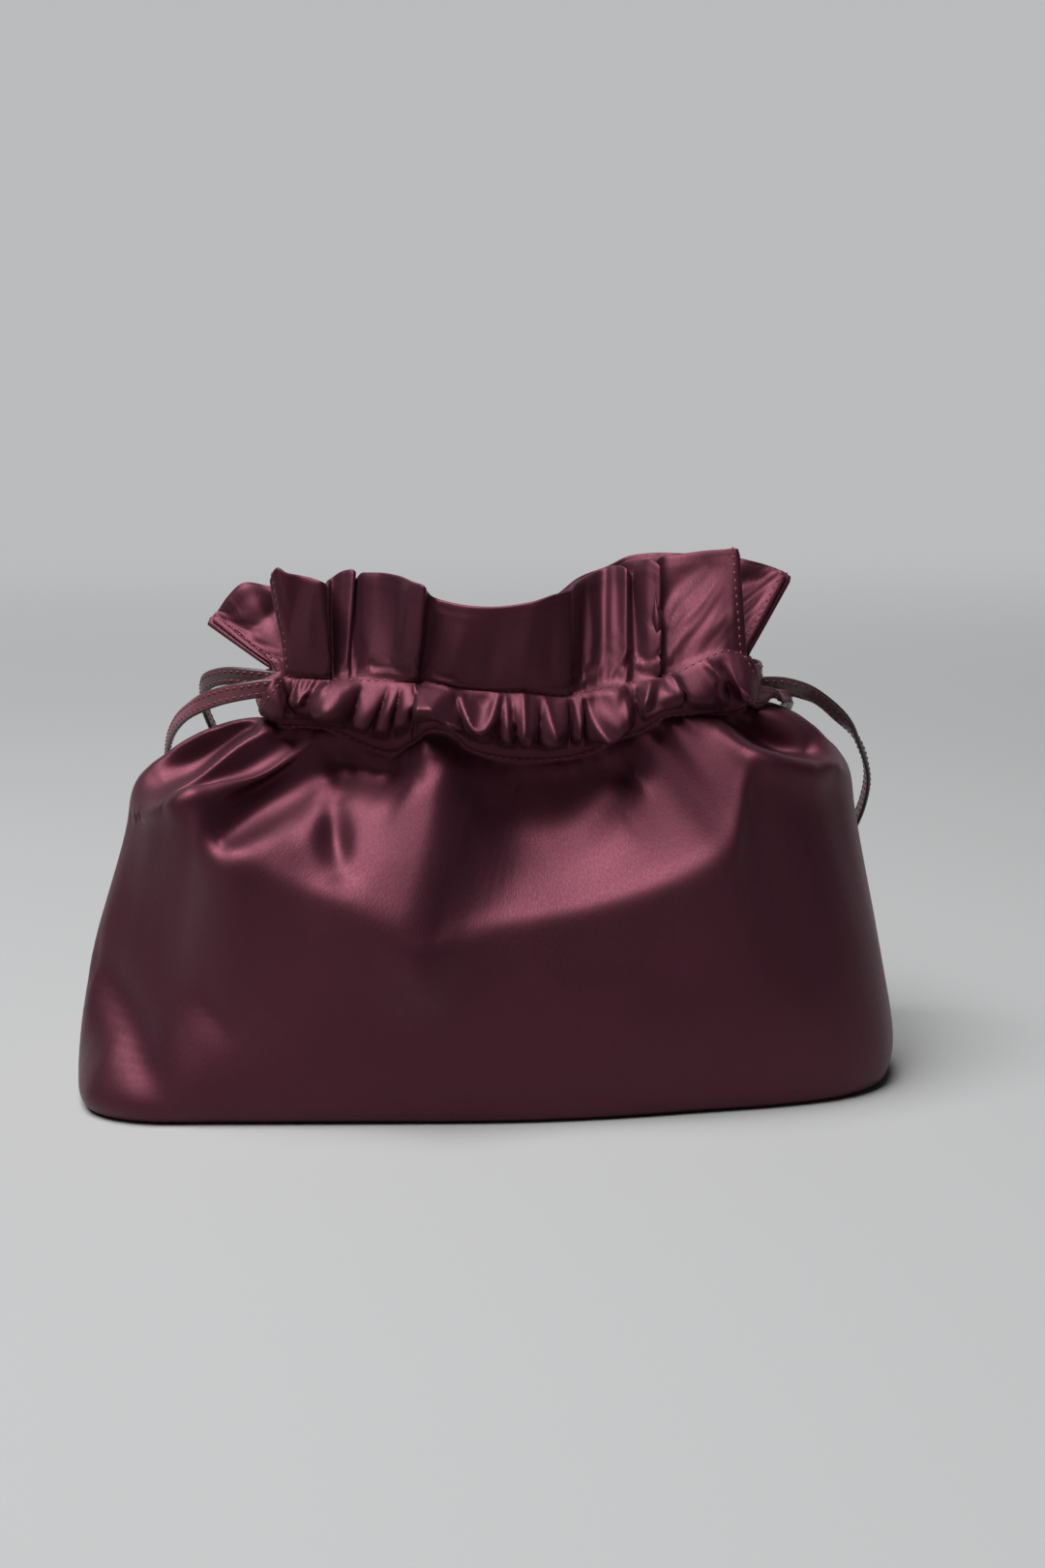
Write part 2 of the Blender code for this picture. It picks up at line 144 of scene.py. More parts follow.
# The settling of the sewn cloth, for the wall, the slope, the casing and the frill: its weights in
# the solver's shrink group, how firmly it keeps its place, and the most that it may move, in mm.
# The shrink itself stays at 0, so the group lets in no spare cloth and changes very little
SPARE_WEIGHTS = (0.0, 0.025, 0.08, 0.05)
HOLD = (0.6, 0.3, 0.25, 0.2)
MOVE_CAP = (4.0, 4.0, 2.5, 3.0)
SETTLE_FRAMES = 14
WALL_FADE = 0.3
EDGE_COLUMNS = 5
CLOTH_SHARE_OF_GRAVITY = 0.4
CLOTH_SETTINGS = {
    "quality": 6, "mass": 0.15, "air_damping": 3.0, "pin_stiffness": 1.0,
    "tension_stiffness": 25.0, "compression_stiffness": 25.0, "shear_stiffness": 4.0,
    "bending_stiffness": 0.6, "tension_damping": 10.0, "compression_damping": 10.0,
    "shear_damping": 5.0,
}

# Seams, hems and rims
SEAM_DEPTH = 1.3 * MM
SEAM_REACH = 1.4 * MM
SEAM_PUCKERS = 40
SEAM_PUCKER_SHARE = 0.5
HEM_WIDTH = 5.0 * MM
HEM_FADE = 0.8 * MM
HEM_STEP = 0.15 * MM
HEM_GROOVE = 0.15 * MM
HEM_GROOVE_WIDTH = 0.7 * MM
HEM_EXTRA = 0.5 * MM
RIM_STEPS = 4
FACING_ROWS_BELOW = 5
FACING_INSET = 2
FACING_ROOM = 0.4 * MM
FACING_PLEATS = 44
FACING_PLEAT_DEPTH = 6.0 * MM
LINING_STEP = 2

# The strap's section, as shares of its half width and half thickness, and its two faces and edges
STRAP_PLACES = (-0.97, -0.9, -0.8, -0.7, -0.645, -0.59, -0.48, -0.25)
STRAP_SQUARENESS = 7
STRAP_ROUNDING = 0.45
STRAP_CROWN = 0.04
STRAP_GROOVE = 0.16
STRAP_GROOVE_WIDTH = 0.07
FACE_SPAN = (-0.3 * MM, 0.3 * MM)
PAINTED_SPAN = (2.7 * MM, 3.1 * MM)

# Finishes: each pair is the darker and the paler shade
SATIN_SHADES = ((0.024, 0.0066, 0.0116), (0.031, 0.0084, 0.0146))
SATIN_ROUGHNESS = 0.48
SATIN_UNEVENNESS = 0.05
SATIN_TINT = (1.0, 0.285, 0.417, 1.0)
SATIN_SPREAD = 0.45
SHEEN_TINT = (0.9, 0.5, 0.6, 1)
LINING_SHADES = ((0.054, 0.0105, 0.021), (0.067, 0.0135, 0.027))
LEATHER_SHADES = ((0.130, 0.034, 0.048), (0.175, 0.048, 0.066))
LEATHER_INSIDE = (0.082, 0.042, 0.047)
LEATHER_EDGE = (0.030, 0.010, 0.013)
THREAD_SHADES = ((0.150, 0.018, 0.038), (0.230, 0.035, 0.065))

# The photograph's view
VIEW_AZIMUTH = math.radians(-4.0)
VIEW_ELEVATION = math.radians(13.0)
VIEW_DISTANCE = 0.794
VIEW_TARGET = Vector((0.0138, 0.0, 0.111))
VIEW_LENS = 50.0
SENSOR_HEIGHT = 36.0

# The backdrop and the light
FLOOR_COLOUR = (0.42, 0.423, 0.427)
BACKDROP_COLOUR = (0.49, 0.50, 0.505)
BACKDROP_WIDTH = 6.0
BACKDROP_START = 2.2
BACKDROP_BEND = 0.8
BEND_STEPS = 12
# Painted shade: towards the camera the floor is coloured nearly black, fading in between these two places, a
# sheet that stands for the dark room the satin mirrors
DARK_FLOOR = -0.75
PALE_FLOOR = -0.35
PAINTED_SHADE_FLOOR_COLOUR = (0.03, 0.03, 0.03)
FADE_START = 0.25
FADE_END = 1.6
ROOM_COLOUR = (0.92, 0.96, 1.0, 1)
ROOM_LIGHT = 0.035
SOFTBOX_AIM = Vector((0, 0, 0.08))
SOFTBOX_DIRECTION = Vector((-0.27, -0.16, 0.93))
SOFTBOX_DISTANCE = 2.2
SOFTBOX_SIDE = 1.5
SOFTBOX_POWER = 79.0

# The left and right ends of each station, on the side seams that front and back share
SEAM_POINTS = {
    "floor": ((-148, 0, 0.3), (148, 0, 0.3)),
    "foot": ((-150.5, 0, 9), (153, 0, 13)),
    "belly": ((-145, 0, 49), (148.5, 0, 46)),
    "crest": ((-128, 0, 114), (135.5, 0, 116)),
    "low_row": ((-77, 0, 137.3), (97.5, 0, 141)),
}

# Stations of the front between the two side seams, from left to right
FRONT_STATIONS = {
    "floor": [
        (-147, -12, 0.3), (-144.5, -24, 0.3), (-140, -32, 0.3), (-131.5, -38, 0.3), (-120, -42, 0.3),
        (-96, -44, 0.3), (-57, -46.5, 0.3), (5, -50, 0.3), (38, -49, 0.3), (72, -45, 0.3),
        (105, -41, 0.3), (128, -34.5, 0.3), (141, -25, 0.3), (146.5, -12, 0.3),
    ],
    "foot": [
        (-149.5, -12, 8), (-147.3, -25, 7), (-143.5, -34, 7), (-135.5, -41, 7), (-123, -46, 8.5),
        (-98, -48.5, 11), (-58, -51, 11), (5, -54, 11), (38, -53, 11), (72, -49.5, 11), (106, -45, 11),
        (130, -38.5, 11), (145, -27.5, 11), (151.5, -13, 12),
    ],
    "belly": [
        (-142.5, -8, 48), (-134, -14, 47), (-119, -24, 46), (-102, -38, 44), (-62, -52, 40),
        (-10, -56, 38), (40, -55, 40), (80, -51.5, 42), (112, -44, 43), (132, -33, 44),
        (144.5, -17, 45),
    ],
    "crest": [
        (-124, -9, 110), (-119, -18, 107.5), (-112.5, -25, 108.5), (-107, -30, 113),
        (-102.5, -33.5, 113), (-99.5, -37, 107), (-95, -41, 101), (-89, -44, 96.5), (-77.5, -46, 91.5),
        (-66, -49, 86.5), (-54.8, -52.5, 83), (-43.6, -56, 78.5), (-32.3, -59.5, 72.5), (-26, -61, 68),
        (-21.3, -60.5, 66), (-14, -57, 68), (1, -53.5, 71.5), (16, -52.5, 74), (31, -51.5, 76.5),
        (46, -50.5, 80), (58, -49.5, 83.5), (69.7, -48.5, 88), (78.7, -47, 93), (85, -44.5, 100),
        (88.5, -39, 109), (91, -33, 118.5), (95, -29, 125), (100, -27.5, 126.5), (104, -26.5, 125.8),
        (110, -24.5, 124), (115.5, -22, 122), (123, -16, 119.5), (130, -9, 118),
    ],
    "low_row": [
        (-73, -7.6, 135.4), (-66, -9.8, 135.6), (-58, -11.6, 135.2), (-49, -13.5, 132.5),
        (-41, -14.8, 128.5), (-32, -16.5, 127), (-25, -19, 131.5), (-19.5, -20.5, 135.5),
        (-13, -20, 134), (-6, -18.8, 128), (10, -18, 124.3), (29, -17.6, 124.6), (38, -17, 127),
        (45, -17, 130.5), (51, -17, 132), (57, -18, 135), (62, -19, 138.5), (67, -18.5, 139.5),
        (74, -16, 138.5), (83, -12, 138), (93, -7.4, 139),
    ],
    "high_row": [
        (-71, -8.8, 153), (-66, -10, 153.2), (-52, -13.4, 153), (-25, -17.2, 152.3),
        (-4, -18.7, 149.8), (14, -19, 149), (27, -18.6, 147.4), (43, -17.4, 149.7), (51, -16.4, 150.8),
        (67, -14, 154), (78, -11.8, 158.4), (86, -10, 161), (93.5, -9.2, 158.6),
    ],
}

# A frill: x at its foot, then where that column of cloth ends at the top
FRONT_FRILL = [
    (-71, -75.5, -7, 187.5), (-69.5, -73, -9, 191.5), (-67, -70, -10, 190), (-63, -65, -9.5, 189),
    (-59, -60.5, -10, 188.3), (-56, -57.5, -11, 187.3), (-54.6, -56, -3, 184.5),
    (-53.6, -54.5, 4, 186), (-51.5, -50, 3, 189), (-49.5, -46, 1.5, 189.3), (-47.6, -46.4, 3, 186),
    (-44, -42.5, 2, 187.5), (-40, -37.5, -3, 189), (-35, -32, -10, 189), (-29, -26, -17, 187.8),
    (-24.5, -21.5, -21, 186.6), (-23, -20.8, -17, 184.6), (-21.5, -18.5, -15, 181.8),
    (-17, -13, -17, 180.2), (-8, -4, -20, 179.2), (3, 4.5, -21.5, 179.2), (13, 14.5, -21.5, 180.8),
    (22, 23, -20, 182.8), (28, 29, -16, 184), (31, 32, -7, 185), (34.5, 36.5, 3, 186),
    (38.5, 41, 6, 187.5), (42, 45, 7.5, 188.6), (46, 48.5, 6, 189.6), (49, 51.5, 2, 189),
    (51.5, 53, 5, 186.5), (55, 55.5, 7, 190), (58.5, 59.5, 2, 192.5), (61.5, 63, -1, 190.5),
    (63.5, 61.5, 6, 190), (67, 66, 12, 192), (73, 73, 11, 193), (80, 81, 8.5, 194.3),
    (87, 87.5, 5.5, 195), (91.6, 91, 4, 195.4), (93.5, 92, 4, 195.2),
]

# Stations of the back
BACK_STATIONS = {
    "floor": [
        (-143, 14, 0.3), (-134, 27, 0.3), (-117, 37, 0.3), (-80, 43, 0.3), (0, 46, 0.3), (85, 43, 0.3),
        (120, 36, 0.3), (139, 25, 0.3), (146, 12, 0.3),
    ],
    "foot": [
        (-148, 14, 12), (-138, 29, 11), (-119, 41, 11), (-82, 48, 11), (0, 50.5, 11), (86, 48, 11),
        (123, 40, 11), (143, 27, 11), (151, 13, 12),
    ],
    "belly": [
        (-141, 13, 45), (-127, 31, 44), (-104, 43, 42), (-60, 50, 40), (0, 53, 38), (62, 50, 40),
        (106, 43, 42), (131, 31, 44), (144, 13, 45),
    ],
    "crest": [
        (-122, 11, 113), (-111, 22, 111), (-95, 31, 104), (-72, 40, 96), (-40, 47, 90), (-8, 49.5, 86),
        (24, 49.5, 85), (56, 45, 89), (82, 38.5, 96), (104, 29, 106), (119, 19, 114), (130, 9, 116.5),
    ],
    "low_row": [
        (-73, 7.6, 135.6), (-60, 11.2, 134.4), (-38, 15.3, 130), (-12, 17.6, 127), (12, 18, 125.5),
        (36, 17, 127), (60, 14.9, 131.5), (80, 11.2, 136), (93, 7.4, 139),
    ],
    "high_row": [
        (-76.5, 8.6, 153), (-68, 9.8, 152.8), (-58, 11.8, 152), (-30, 16.4, 150), (0, 19, 148.5),
        (26, 18.7, 148), (52, 16.2, 150.5), (74, 12.6, 154), (88, 9.8, 156.5), (97, 8.8, 156),
    ],
}
BACK_FRILL = [
    (-76.5, -99.5, 23, 167.5), (-74.5, -96, 25, 171.5), (-71.5, -91.5, 26, 177.5),
    (-68, -87, 26.5, 181.5), (-63, -79, 27, 180.8), (-58, -70, 25, 180), (-53, -62, 29, 180.5),
    (-47, -54, 31, 180.3), (-41, -46, 28, 178), (-35, -38, 32, 174.5), (-27, -28, 36, 170.5),
    (-18, -17, 34, 168), (-8, -6, 38, 167), (2, 4, 38.5, 166.6), (12, 13, 35.5, 168),
    (20, 21.5, 36, 170.5), (27, 29, 34, 175), (33, 37, 32.5, 181.5), (40, 46, 29, 186),
    (47, 55, 32, 189.5), (54, 64, 31, 190.8), (61, 73, 27.5, 191.2), (68, 82, 30, 190.6),
    (75, 90, 28.5, 190.2), (82, 98, 25.5, 188.8), (89, 106, 25, 186.6), (95, 112.5, 22.5, 183.8),
    (97, 114.5, 21.5, 182.3),
]

# The folds, each a path of (x, z, reach, height), then how crisp it is and its lean. A tuck is
# its x, its slant, the height of the cushion on its right, and how far up that cushion is highest
FRONT_FORMS = {
    "body": [
        ([(-74, 136, 5, 1), (-85, 130.5, 6, 4), (-94.5, 123, 6, 6), (-104, 115.5, 6, 7),
          (-112, 109, 6, 6), (-120, 105.5, 5, 2)], 0.2, -0.5),
        ([(-85, 136, 4, -5), (-96, 131, 6, -9), (-106, 123, 7, -10), (-114, 115, 6, -5)], 0.0),
        ([(-56, 125, 9, -6), (-66, 121, 12, -11), (-78, 116, 11, -12), (-88, 109, 8, -9),
          (-94, 104, 6, -5)], 0.0),
        ([(-48, 123, 8, -5), (-36, 121, 7, -5), (-27, 122, 5, -2)], 0.0),
        ([(-54, 113, 5, -3), (-54, 101, 5, -4), (-51, 92, 5, -1)], 0.1),
        ([(-17, 126, 8, 2), (-16, 119, 11, 4.5), (-17, 105, 13, 5.5), (-18, 92, 14, 5),
          (-19.5, 80, 12, 3), (-20, 71, 8, 1)], 0.0),
        ([(-5, 112, 9, -3), (8, 105, 14, -7), (28, 106, 14, -7), (42, 115, 10, -5),
          (51, 121, 6, -3)], 0.0),
        ([(66, 142, 5, 0.5), (78, 139, 5, 1.5), (91, 133.5, 5.5, 4), (104, 126.5, 6, 5), (115.5, 122, 6, 4),
          (126, 118, 5, 2)], 0.2, -0.4),
        ([(84, 139, 4, -4), (95, 134, 5, -9), (106, 130, 5, -10), (117, 126, 5, -6)], 0.0),
        ([(-148, 56, 6, -1), (-138, 45, 8, -3), (-127, 29, 8, -3.5), (-115, 10, 8, -1.5)], 0.0),
        ([(-106, 50, 4, 0), (-98, 40, 5, -1.5), (-90, 28, 4, 0)], 0.1),
    ],
    "tucks": [
        (-80, 0, 4, 0.6), (-69.3, 1, 3.5, 0.6), (-61, -3, 5, 0.55), (-46.5, 7, 6, 0.6),
        (-39, 12, 5.4, 0.6), (-31.6, 4, 6, 0.6), (-24.8, 1, 11.5, 0.62),
        (-9, -5, 9, 0.62), (3.4, 5, 7.5, 0.6), (10, -5, 10.5, 0.62), (17, 5, 9, 0.6),
        (28.4, 0, 0, 0.65), (29.6, 1, 7, 0.62), (33.2, 1, 0, 0.62), (34.2, 1, 12, 0.56),
        (53.2, -5, 10, 0.56), (68, -3, 5.5, 0.55), (81, -4, 4.5, 0.55), (85.5, -6, 8, 0.55),
        (100, 0, 0, 0.5),
    ],
    "casing": [
        ([(-71, 159, 4, 2), (-75, 154, 5, 3), (-75, 149, 5, 3), (-72, 143, 4, 2)], 0.0),
        ([(-66, 158, 1.5, -3), (-70.7, 153.5, 2, -4), (-69.7, 147, 2, -4), (-67.6, 142.5, 1.5, -3)], 0.5),
        ([(-64.7, 157, 1.2, 1), (-67.6, 154, 1.2, 1.8), (-68.3, 149, 1.2, 1.8), (-67, 145, 1.2, 1)], 0.5),
        ([(-64.7, 157, 1.2, 1.5), (-65, 153, 1.2, 2), (-64, 147, 1.2, 1.5)], 0.5),
        ([(-58.5, 156, 1.2, 1.5), (-61.2, 151.6, 1.2, 2), (-64, 147, 1.2, 1.5)], 0.5),
        ([(-60, 151, 1.4, -2), (-54.5, 154, 1.8, -2.5)], 0.3),
        ([(-60.6, 150.5, 1.2, 2), (-56, 151.6, 1.2, 2.5), (-51.8, 154.4, 1.2, 2)], 0.5),
        ([(-58, 143.5, 5, 3), (-53, 147, 6, 4.5), (-48.5, 151.5, 4, 3)], 0.0),
        ([(-25.2, 152, 1.2, 1.5), (-23.8, 146.5, 1.2, 2), (-25, 131, 1.2, 2)], 0.6),
        ([(-23.8, 146, 2, 2), (-18, 148.8, 2.5, 2.5), (-11.2, 150.4, 2, 2)], 0.3),
        ([(-21.6, 137.8, 2, 1), (-15.3, 139.4, 2.5, 1.5), (-9, 137, 2, 1)], 0.2),
        ([(-6, 149, 2.5, -2), (-1, 147.5, 3, -3), (2, 150, 2, -1.5)], 0.0),
        ([(-8.7, 146.3, 1.8, 1.5), (-4.4, 141.6, 2, 2.5), (0.2, 143, 2, 2.5), (4.2, 148.5, 1.8, 1)], 0.3),
        ([(13, 149, 1.2, 1.2), (11.8, 139.8, 1.2, 1.5)], 0.4),
        ([(19.6, 147, 1.5, 1), (23.2, 139, 1.5, 1.5)], 0.4),
        ([(34.5, 147.4, 2, 1.5), (39.2, 150, 2, 2.5), (44.6, 149, 2, 2.5), (49.4, 152.3, 1.8, 2)], 0.3),
        ([(38, 145.5, 3, -1.5), (44, 143.5, 3.5, -2.5), (49, 139.5, 2.5, -1.5)], 0.0),
        ([(36.3, 142.5, 2.5, 1), (42.3, 138, 2.5, 2), (48.4, 133.2, 2, 1.5)], 0.2),
        ([(50.6, 150.8, 1.5, -3), (53, 141, 1.8, -4), (55, 132, 1.5, -2)], 0.5),
        ([(59, 147, 3, -3), (62.6, 145.2, 3, -3)], 0.0),
        ([(54.2, 145.3, 1.8, 1.5), (56, 149, 2, 2.5), (60, 153.7, 2.2, 3), (64.3, 154.2, 2, 3),
          (67.4, 148, 1.6, 1.5)], 0.3),
        ([(75.6, 160.7, 1.5, 1.5), (80, 155.2, 1.8, 2.5), (89, 149, 2, 2)], 0.4),
        ([(79.6, 152, 1, 1), (82, 145, 1, 1.5), (84, 138, 1, 1)], 0.6),
        ([(83, 154.6, 2, -2), (85.4, 149.7, 2.2, -3), (88, 144.8, 2, -2)], 0.0),
    ],
    "frill": [
        ([(-73, 160, 3, -1.5), (-69, 172, 4, -2.5), (-66, 184, 3, -1)], 0.2),
        ([(-61, 156, 3, 2), (-62, 170, 4, 2.5), (-60, 186, 4, 1.5)], 0.1),
        ([(-41, 156, 3, 2), (-42, 170, 4, 2.5), (-41, 187, 4, 3)], 0.1),
        ([(-34, 155, 3, -2), (-33, 170, 4, -2.5), (-31, 187, 4, -1)], 0.1),
        ([(-27, 155, 3, 1.5), (-28, 168, 4, 2), (-27, 185, 3, 1)], 0.2),
        ([(-12, 152, 2.5, 1.5), (-11, 162, 3.5, 1.8), (-8, 174, 4, 0.5)], 0.1),
        ([(1, 151, 2.5, -1.5), (2, 163, 4, -2), (5, 176, 4, -0.5)], 0.1),
        ([(12, 151, 2.5, 1.5), (13, 162, 3.5, 2), (16, 178, 4, 1)], 0.1),
        ([(22, 151, 2.5, -1.5), (22, 164, 3.5, -2), (24, 180, 4, -1)], 0.1),
        ([(36, 152, 2, 1.5), (38, 166, 3, 2), (37, 184, 3, 1.5)], 0.2),
        ([(45, 153, 2, 1.5), (46, 168, 3, 2), (47, 188, 3, 1)], 0.2),
        ([(56, 157, 2.5, 1.5), (57, 170, 3, 2), (56, 189, 3, 2.5)], 0.2),
        ([(66, 158, 2.5, 1.5), (72, 168, 4, 2), (82, 180, 4, 1)], 0.1),
        ([(62, 172, 3, -1.5), (70, 182, 4, -2), (80, 190, 3, -1)], 0.1),
        ([(76, 162, 2.5, 1.5), (80, 168, 3, 2), (88, 172, 3, 1)], 0.2),
    ],
}
BACK_FORMS = {
    "body": [
        ([(-70, 136, 3, 1), (-84, 126, 5, 4), (-98, 116, 5, 4), (-112, 112, 4, 1)], 0.5),
        ([(-50, 130, 4, -1), (-56, 114, 7, -5), (-66, 102, 7, -3)], 0.0),
        ([(-20, 124, 4, 1), (-24, 108, 7, 4), (-34, 92, 7, 2)], 0.0),
        ([(0, 122, 4, -1), (2, 104, 7, -5), (6, 88, 6, -3)], 0.2),
        ([(24, 124, 4, 1), (30, 106, 8, 4), (34, 92, 8, 2)], 0.0),
        ([(46, 130, 4, -1), (56, 114, 7, -5), (66, 102, 6, -3)], 0.0),
        ([(72, 138, 3, 1), (88, 128, 5, 4), (104, 118, 5, 4), (118, 116, 4, 1)], 0.5),
    ],
    "tucks": [
        (-79, 0, 5, 0.55), (-68, 3, 5, 0.6), (-57, -3, 4, 0.6), (-49, 2, 6, 0.6),
        (-36, -2, 3, 0.6), (-31, 3, 6, 0.62), (-17, -2, 5, 0.65), (-6, 2, 4, 0.65),
        (2, -2, 6, 0.65), (16, 3, 4.5, 0.65), (25, -2, 3, 0.65), (30, 2, 6, 0.6),
        (44, -3, 5, 0.6), (54, 2, 6, 0.6), (68, 3, 3.5, 0.6), (74, -2, 5, 0.55),
        (86, 2, 6, 0.55), (100, 0, 0, 0.5),
    ],
    "casing": [
        ([(-70, 147, 2, 2), (-64, 150, 2.5, 3), (-58, 147, 2, 2)], 0.3),
        ([(-47, 143, 2, 2), (-43, 146, 2.2, 3), (-37, 145, 2, 2)], 0.3),
        ([(-29, 137, 2, 2), (-24, 139, 2.2, 3), (-18, 143, 2, 2)], 0.3),
        ([(3, 136, 2, 2), (9, 139, 2.2, 3), (15, 137, 2, 2)], 0.3),
        ([(31, 138, 2, 2), (36, 142, 2.2, 3), (43, 141, 2, 2)], 0.3),
        ([(55, 143, 2, 2), (60, 147, 2.2, 3), (67, 145, 2, 2)], 0.3),
        ([(76, 148, 2, 2), (82, 151, 2.2, 3), (89, 149, 2, 2)], 0.3),
    ],
    "frill": [
        ([(-84, 166, 3, 1.5), (-76, 172, 4, 2), (-66, 178, 4, 1)], 0.1),
        ([(40, 162, 3, -1.5), (42, 174, 4, -2)], 0.1),
        ([(72, 166, 3, 1.5), (84, 174, 4, 2), (98, 182, 3, 1)], 0.1),
    ],
}

# The drawstrings' free loops, with the way the strap's face looks at each point
FRONT = np.array((0, -1, 0))
BACK = np.array((0, 1, 0))
LEFT = np.array((-1, 0, 0))
RIGHT = np.array((1, 0, 0))
DOWN = np.array((0, 0, -1))
LEFT_LOOP = [
    ((-84.0, -6.8, 148.2), FRONT), ((-91.5, -4.4, 146.5), FRONT + LEFT),
    ((-99.0, 0.8, 143.4), FRONT + LEFT), ((-105.8, 8.0, 138.8), LEFT), ((-111.6, 17.5, 132.5), LEFT),
    ((-115.8, 28.5, 124.0), LEFT), ((-118.0, 39.5, 113.5), LEFT), ((-118.5, 48.5, 100.5), LEFT),
    ((-117.5, 54.0, 85.0), LEFT), ((-116.0, 57.0, 67.0), LEFT), ((-115.0, 58.5, 49.0), LEFT),
    ((-114.8, 59.0, 32.0), LEFT), ((-113.5, 59.0, 16.0), LEFT + DOWN), ((-106.5, 59.0, 5.0), LEFT + DOWN),
    ((-96.5, 59.0, 1.6), DOWN), ((-86.5, 59.0, 5.0), RIGHT + DOWN), ((-80.0, 59.0, 16.0), RIGHT + DOWN),
    ((-79.0, 59.0, 32.0), RIGHT), ((-80.5, 58.8, 50.0), RIGHT), ((-83.5, 58.0, 68.0), RIGHT),
    ((-87.5, 56.5, 86.0), RIGHT), ((-93.0, 53.5, 102.5), RIGHT), ((-98.5, 48.0, 118.0), RIGHT),
    ((-102.5, 40.5, 130.5), RIGHT), ((-103.5, 31.5, 140.0), RIGHT), ((-100.5, 22.5, 146.5), RIGHT + BACK),
    ((-93.0, 14.8, 149.7), RIGHT + BACK), ((-84.0, 9.8, 150.0), BACK),
]
RIGHT_LOOP = [
    ((103.0, 8.8, 144.8), BACK), ((112.0, 10.5, 144.0), BACK), ((123.5, 12.8, 139.7), BACK + RIGHT),
    ((134.5, 17.0, 130.5), BACK + RIGHT), ((143.5, 23.5, 118.5), RIGHT), ((148.5, 31.5, 105.5), RIGHT),
    ((149.0, 40.0, 92.0), RIGHT), ((146.0, 47.5, 78.0), RIGHT), ((141.5, 53.0, 62.0), RIGHT),
    ((137.0, 56.5, 46.0), RIGHT), ((133.5, 58.5, 31.0), RIGHT), ((129.5, 59.0, 16.5), RIGHT + DOWN),
    ((121.0, 59.0, 5.5), RIGHT + DOWN), ((110.0, 59.0, 1.6), DOWN), ((99.0, 59.0, 5.0), LEFT + DOWN),
    ((91.5, 59.0, 15.5), LEFT + DOWN), ((89.5, 59.0, 31.0), LEFT), ((90.5, 58.8, 48.0), LEFT),
    ((93.0, 58.0, 65.0), LEFT), ((96.5, 56.2, 82.0), LEFT), ((101.0, 52.5, 98.0), LEFT),
    ((106.5, 46.0, 112.5), LEFT), ((112.0, 37.0, 124.0), LEFT), ((114.8, 27.0, 132.2), LEFT),
    ((114.8, 16.5, 137.6), LEFT), ((111.5, 6.6, 140.8), LEFT + FRONT), ((104.5, -2.8, 143.1), LEFT + FRONT),
]

SHARES = np.linspace(0.0, 1.0, COLUMNS + 1)
FROM_SEAM = np.minimum(SHARES, 1 - SHARES)
CREST = BASE_ROWS + CORNER_ROWS + sum(WALL_ROWS)
LOW = CREST + sum(SLOPE_ROWS)
HIGH = LOW + CASING_ROWS
ROWS = HIGH + FRILL_ROWS + 1
SETTLE_FROM = BASE_ROWS + CORNER_ROWS + WALL_ROWS[0]


def smooth_step(value, low, high):
    """0 below low, 1 above high, and a soft S between."""
    share = np.clip((value - low) / (high - low), 0.0, 1.0)
    return share * share * (3.0 - 2.0 * share)


def off_seam(reach):
    """0 at both side seams, and 1 from the given share of the width inwards."""
    return smooth_step(FROM_SEAM, 0.0, reach)


def hermite(start, end, slope_start, slope_end, t):
    return (start * (2 * t**3 - 3 * t**2 + 1) + end * (3 * t**2 - 2 * t**3)
            + slope_start * (t**3 - 2 * t**2 + t) + slope_end * (t**3 - t**2))


def running_total(steps):
    """The sum of the steps before each point; they run along the first axis."""
    return np.concatenate([np.zeros_like(steps[:1]), np.cumsum(steps, axis=0)])


def lengths(points):
    """How far each point lies along its path; the paths run along the first axis."""
    return running_total(np.linalg.norm(np.diff(points, axis=0), axis=-1))


def to_edges(grid):
    """How far each point lies from the left and from the right end of its row."""
    along = lengths(grid.transpose(1, 0, 2)).T
    return along, along[:, -1:] - along


def knot_times(knots):
    """Times for a smooth curve; the square root of the gaps keeps it from swinging out."""
    gaps = np.linalg.norm(np.diff(knots, axis=0), axis=-1) ** 0.5
    return running_total(np.maximum(gaps, SMALLEST_GAP))


def knot_slopes(knots, times):
    """Slopes at each knot, for any knots with time along the first axis."""
    spans = np.diff(times, axis=0)
    steps = np.diff(knots, axis=0) / spans
    inner = (steps[:-1] * spans[1:] + steps[1:] * spans[:-1]) / (spans[:-1] + spans[1:])
    return np.concatenate([steps[:1], inner, steps[-1:]])


def curve_at(knots, times, wanted):
    """A smooth curve through knots that lie at the given times, read at the wanted times."""
    slopes = knot_slopes(knots, times[:, None])
    i = np.clip(np.searchsorted(times, wanted, side="right") - 1, 0, len(times) - 2)
    span = (times[i + 1] - times[i])[:, None]
    t = (wanted - times[i])[:, None] / span
    return hermite(knots[i], knots[i + 1], slopes[i] * span, slopes[i + 1] * span, t)


def sampled(points, at, wanted):
    """Points read at the wanted places; at says where each of the given ones lies."""
    return np.stack([np.interp(wanted, at, column) for column in points.T], axis=1)


def curve_through(points, shares):
    """Points at the given shares of the length of a smooth curve through given points."""
    knots = np.array(points, float)
    times = knot_times(knots)
    dense = curve_at(knots, times, np.linspace(0.0, times[-1], CURVE_SAMPLES * len(knots)))
    along = lengths(dense[:, :3])
    return sampled(dense, along / along[-1], shares)


def loft(stations, rows):
    """Rows of cloth through stations; rows[k] is how many lie between station k and the next."""
    knots = np.array(stations)
    times = knot_times(knots)[:, :, None]
    slopes = knot_slopes(knots, times)
    result = [knots[:1]]
    for k, count in enumerate(rows):
        span = times[k + 1] - times[k]
        for i in range(1, count + 1):
            row = hermite(knots[k], knots[k + 1], slopes[k] * span, slopes[k + 1] * span, i / count)
            result.append(row[None])
    return np.concatenate(result)


def unit(vectors):
    length = np.linalg.norm(vectors, axis=-1, keepdims=True)
    return vectors / np.maximum(length, TINY)


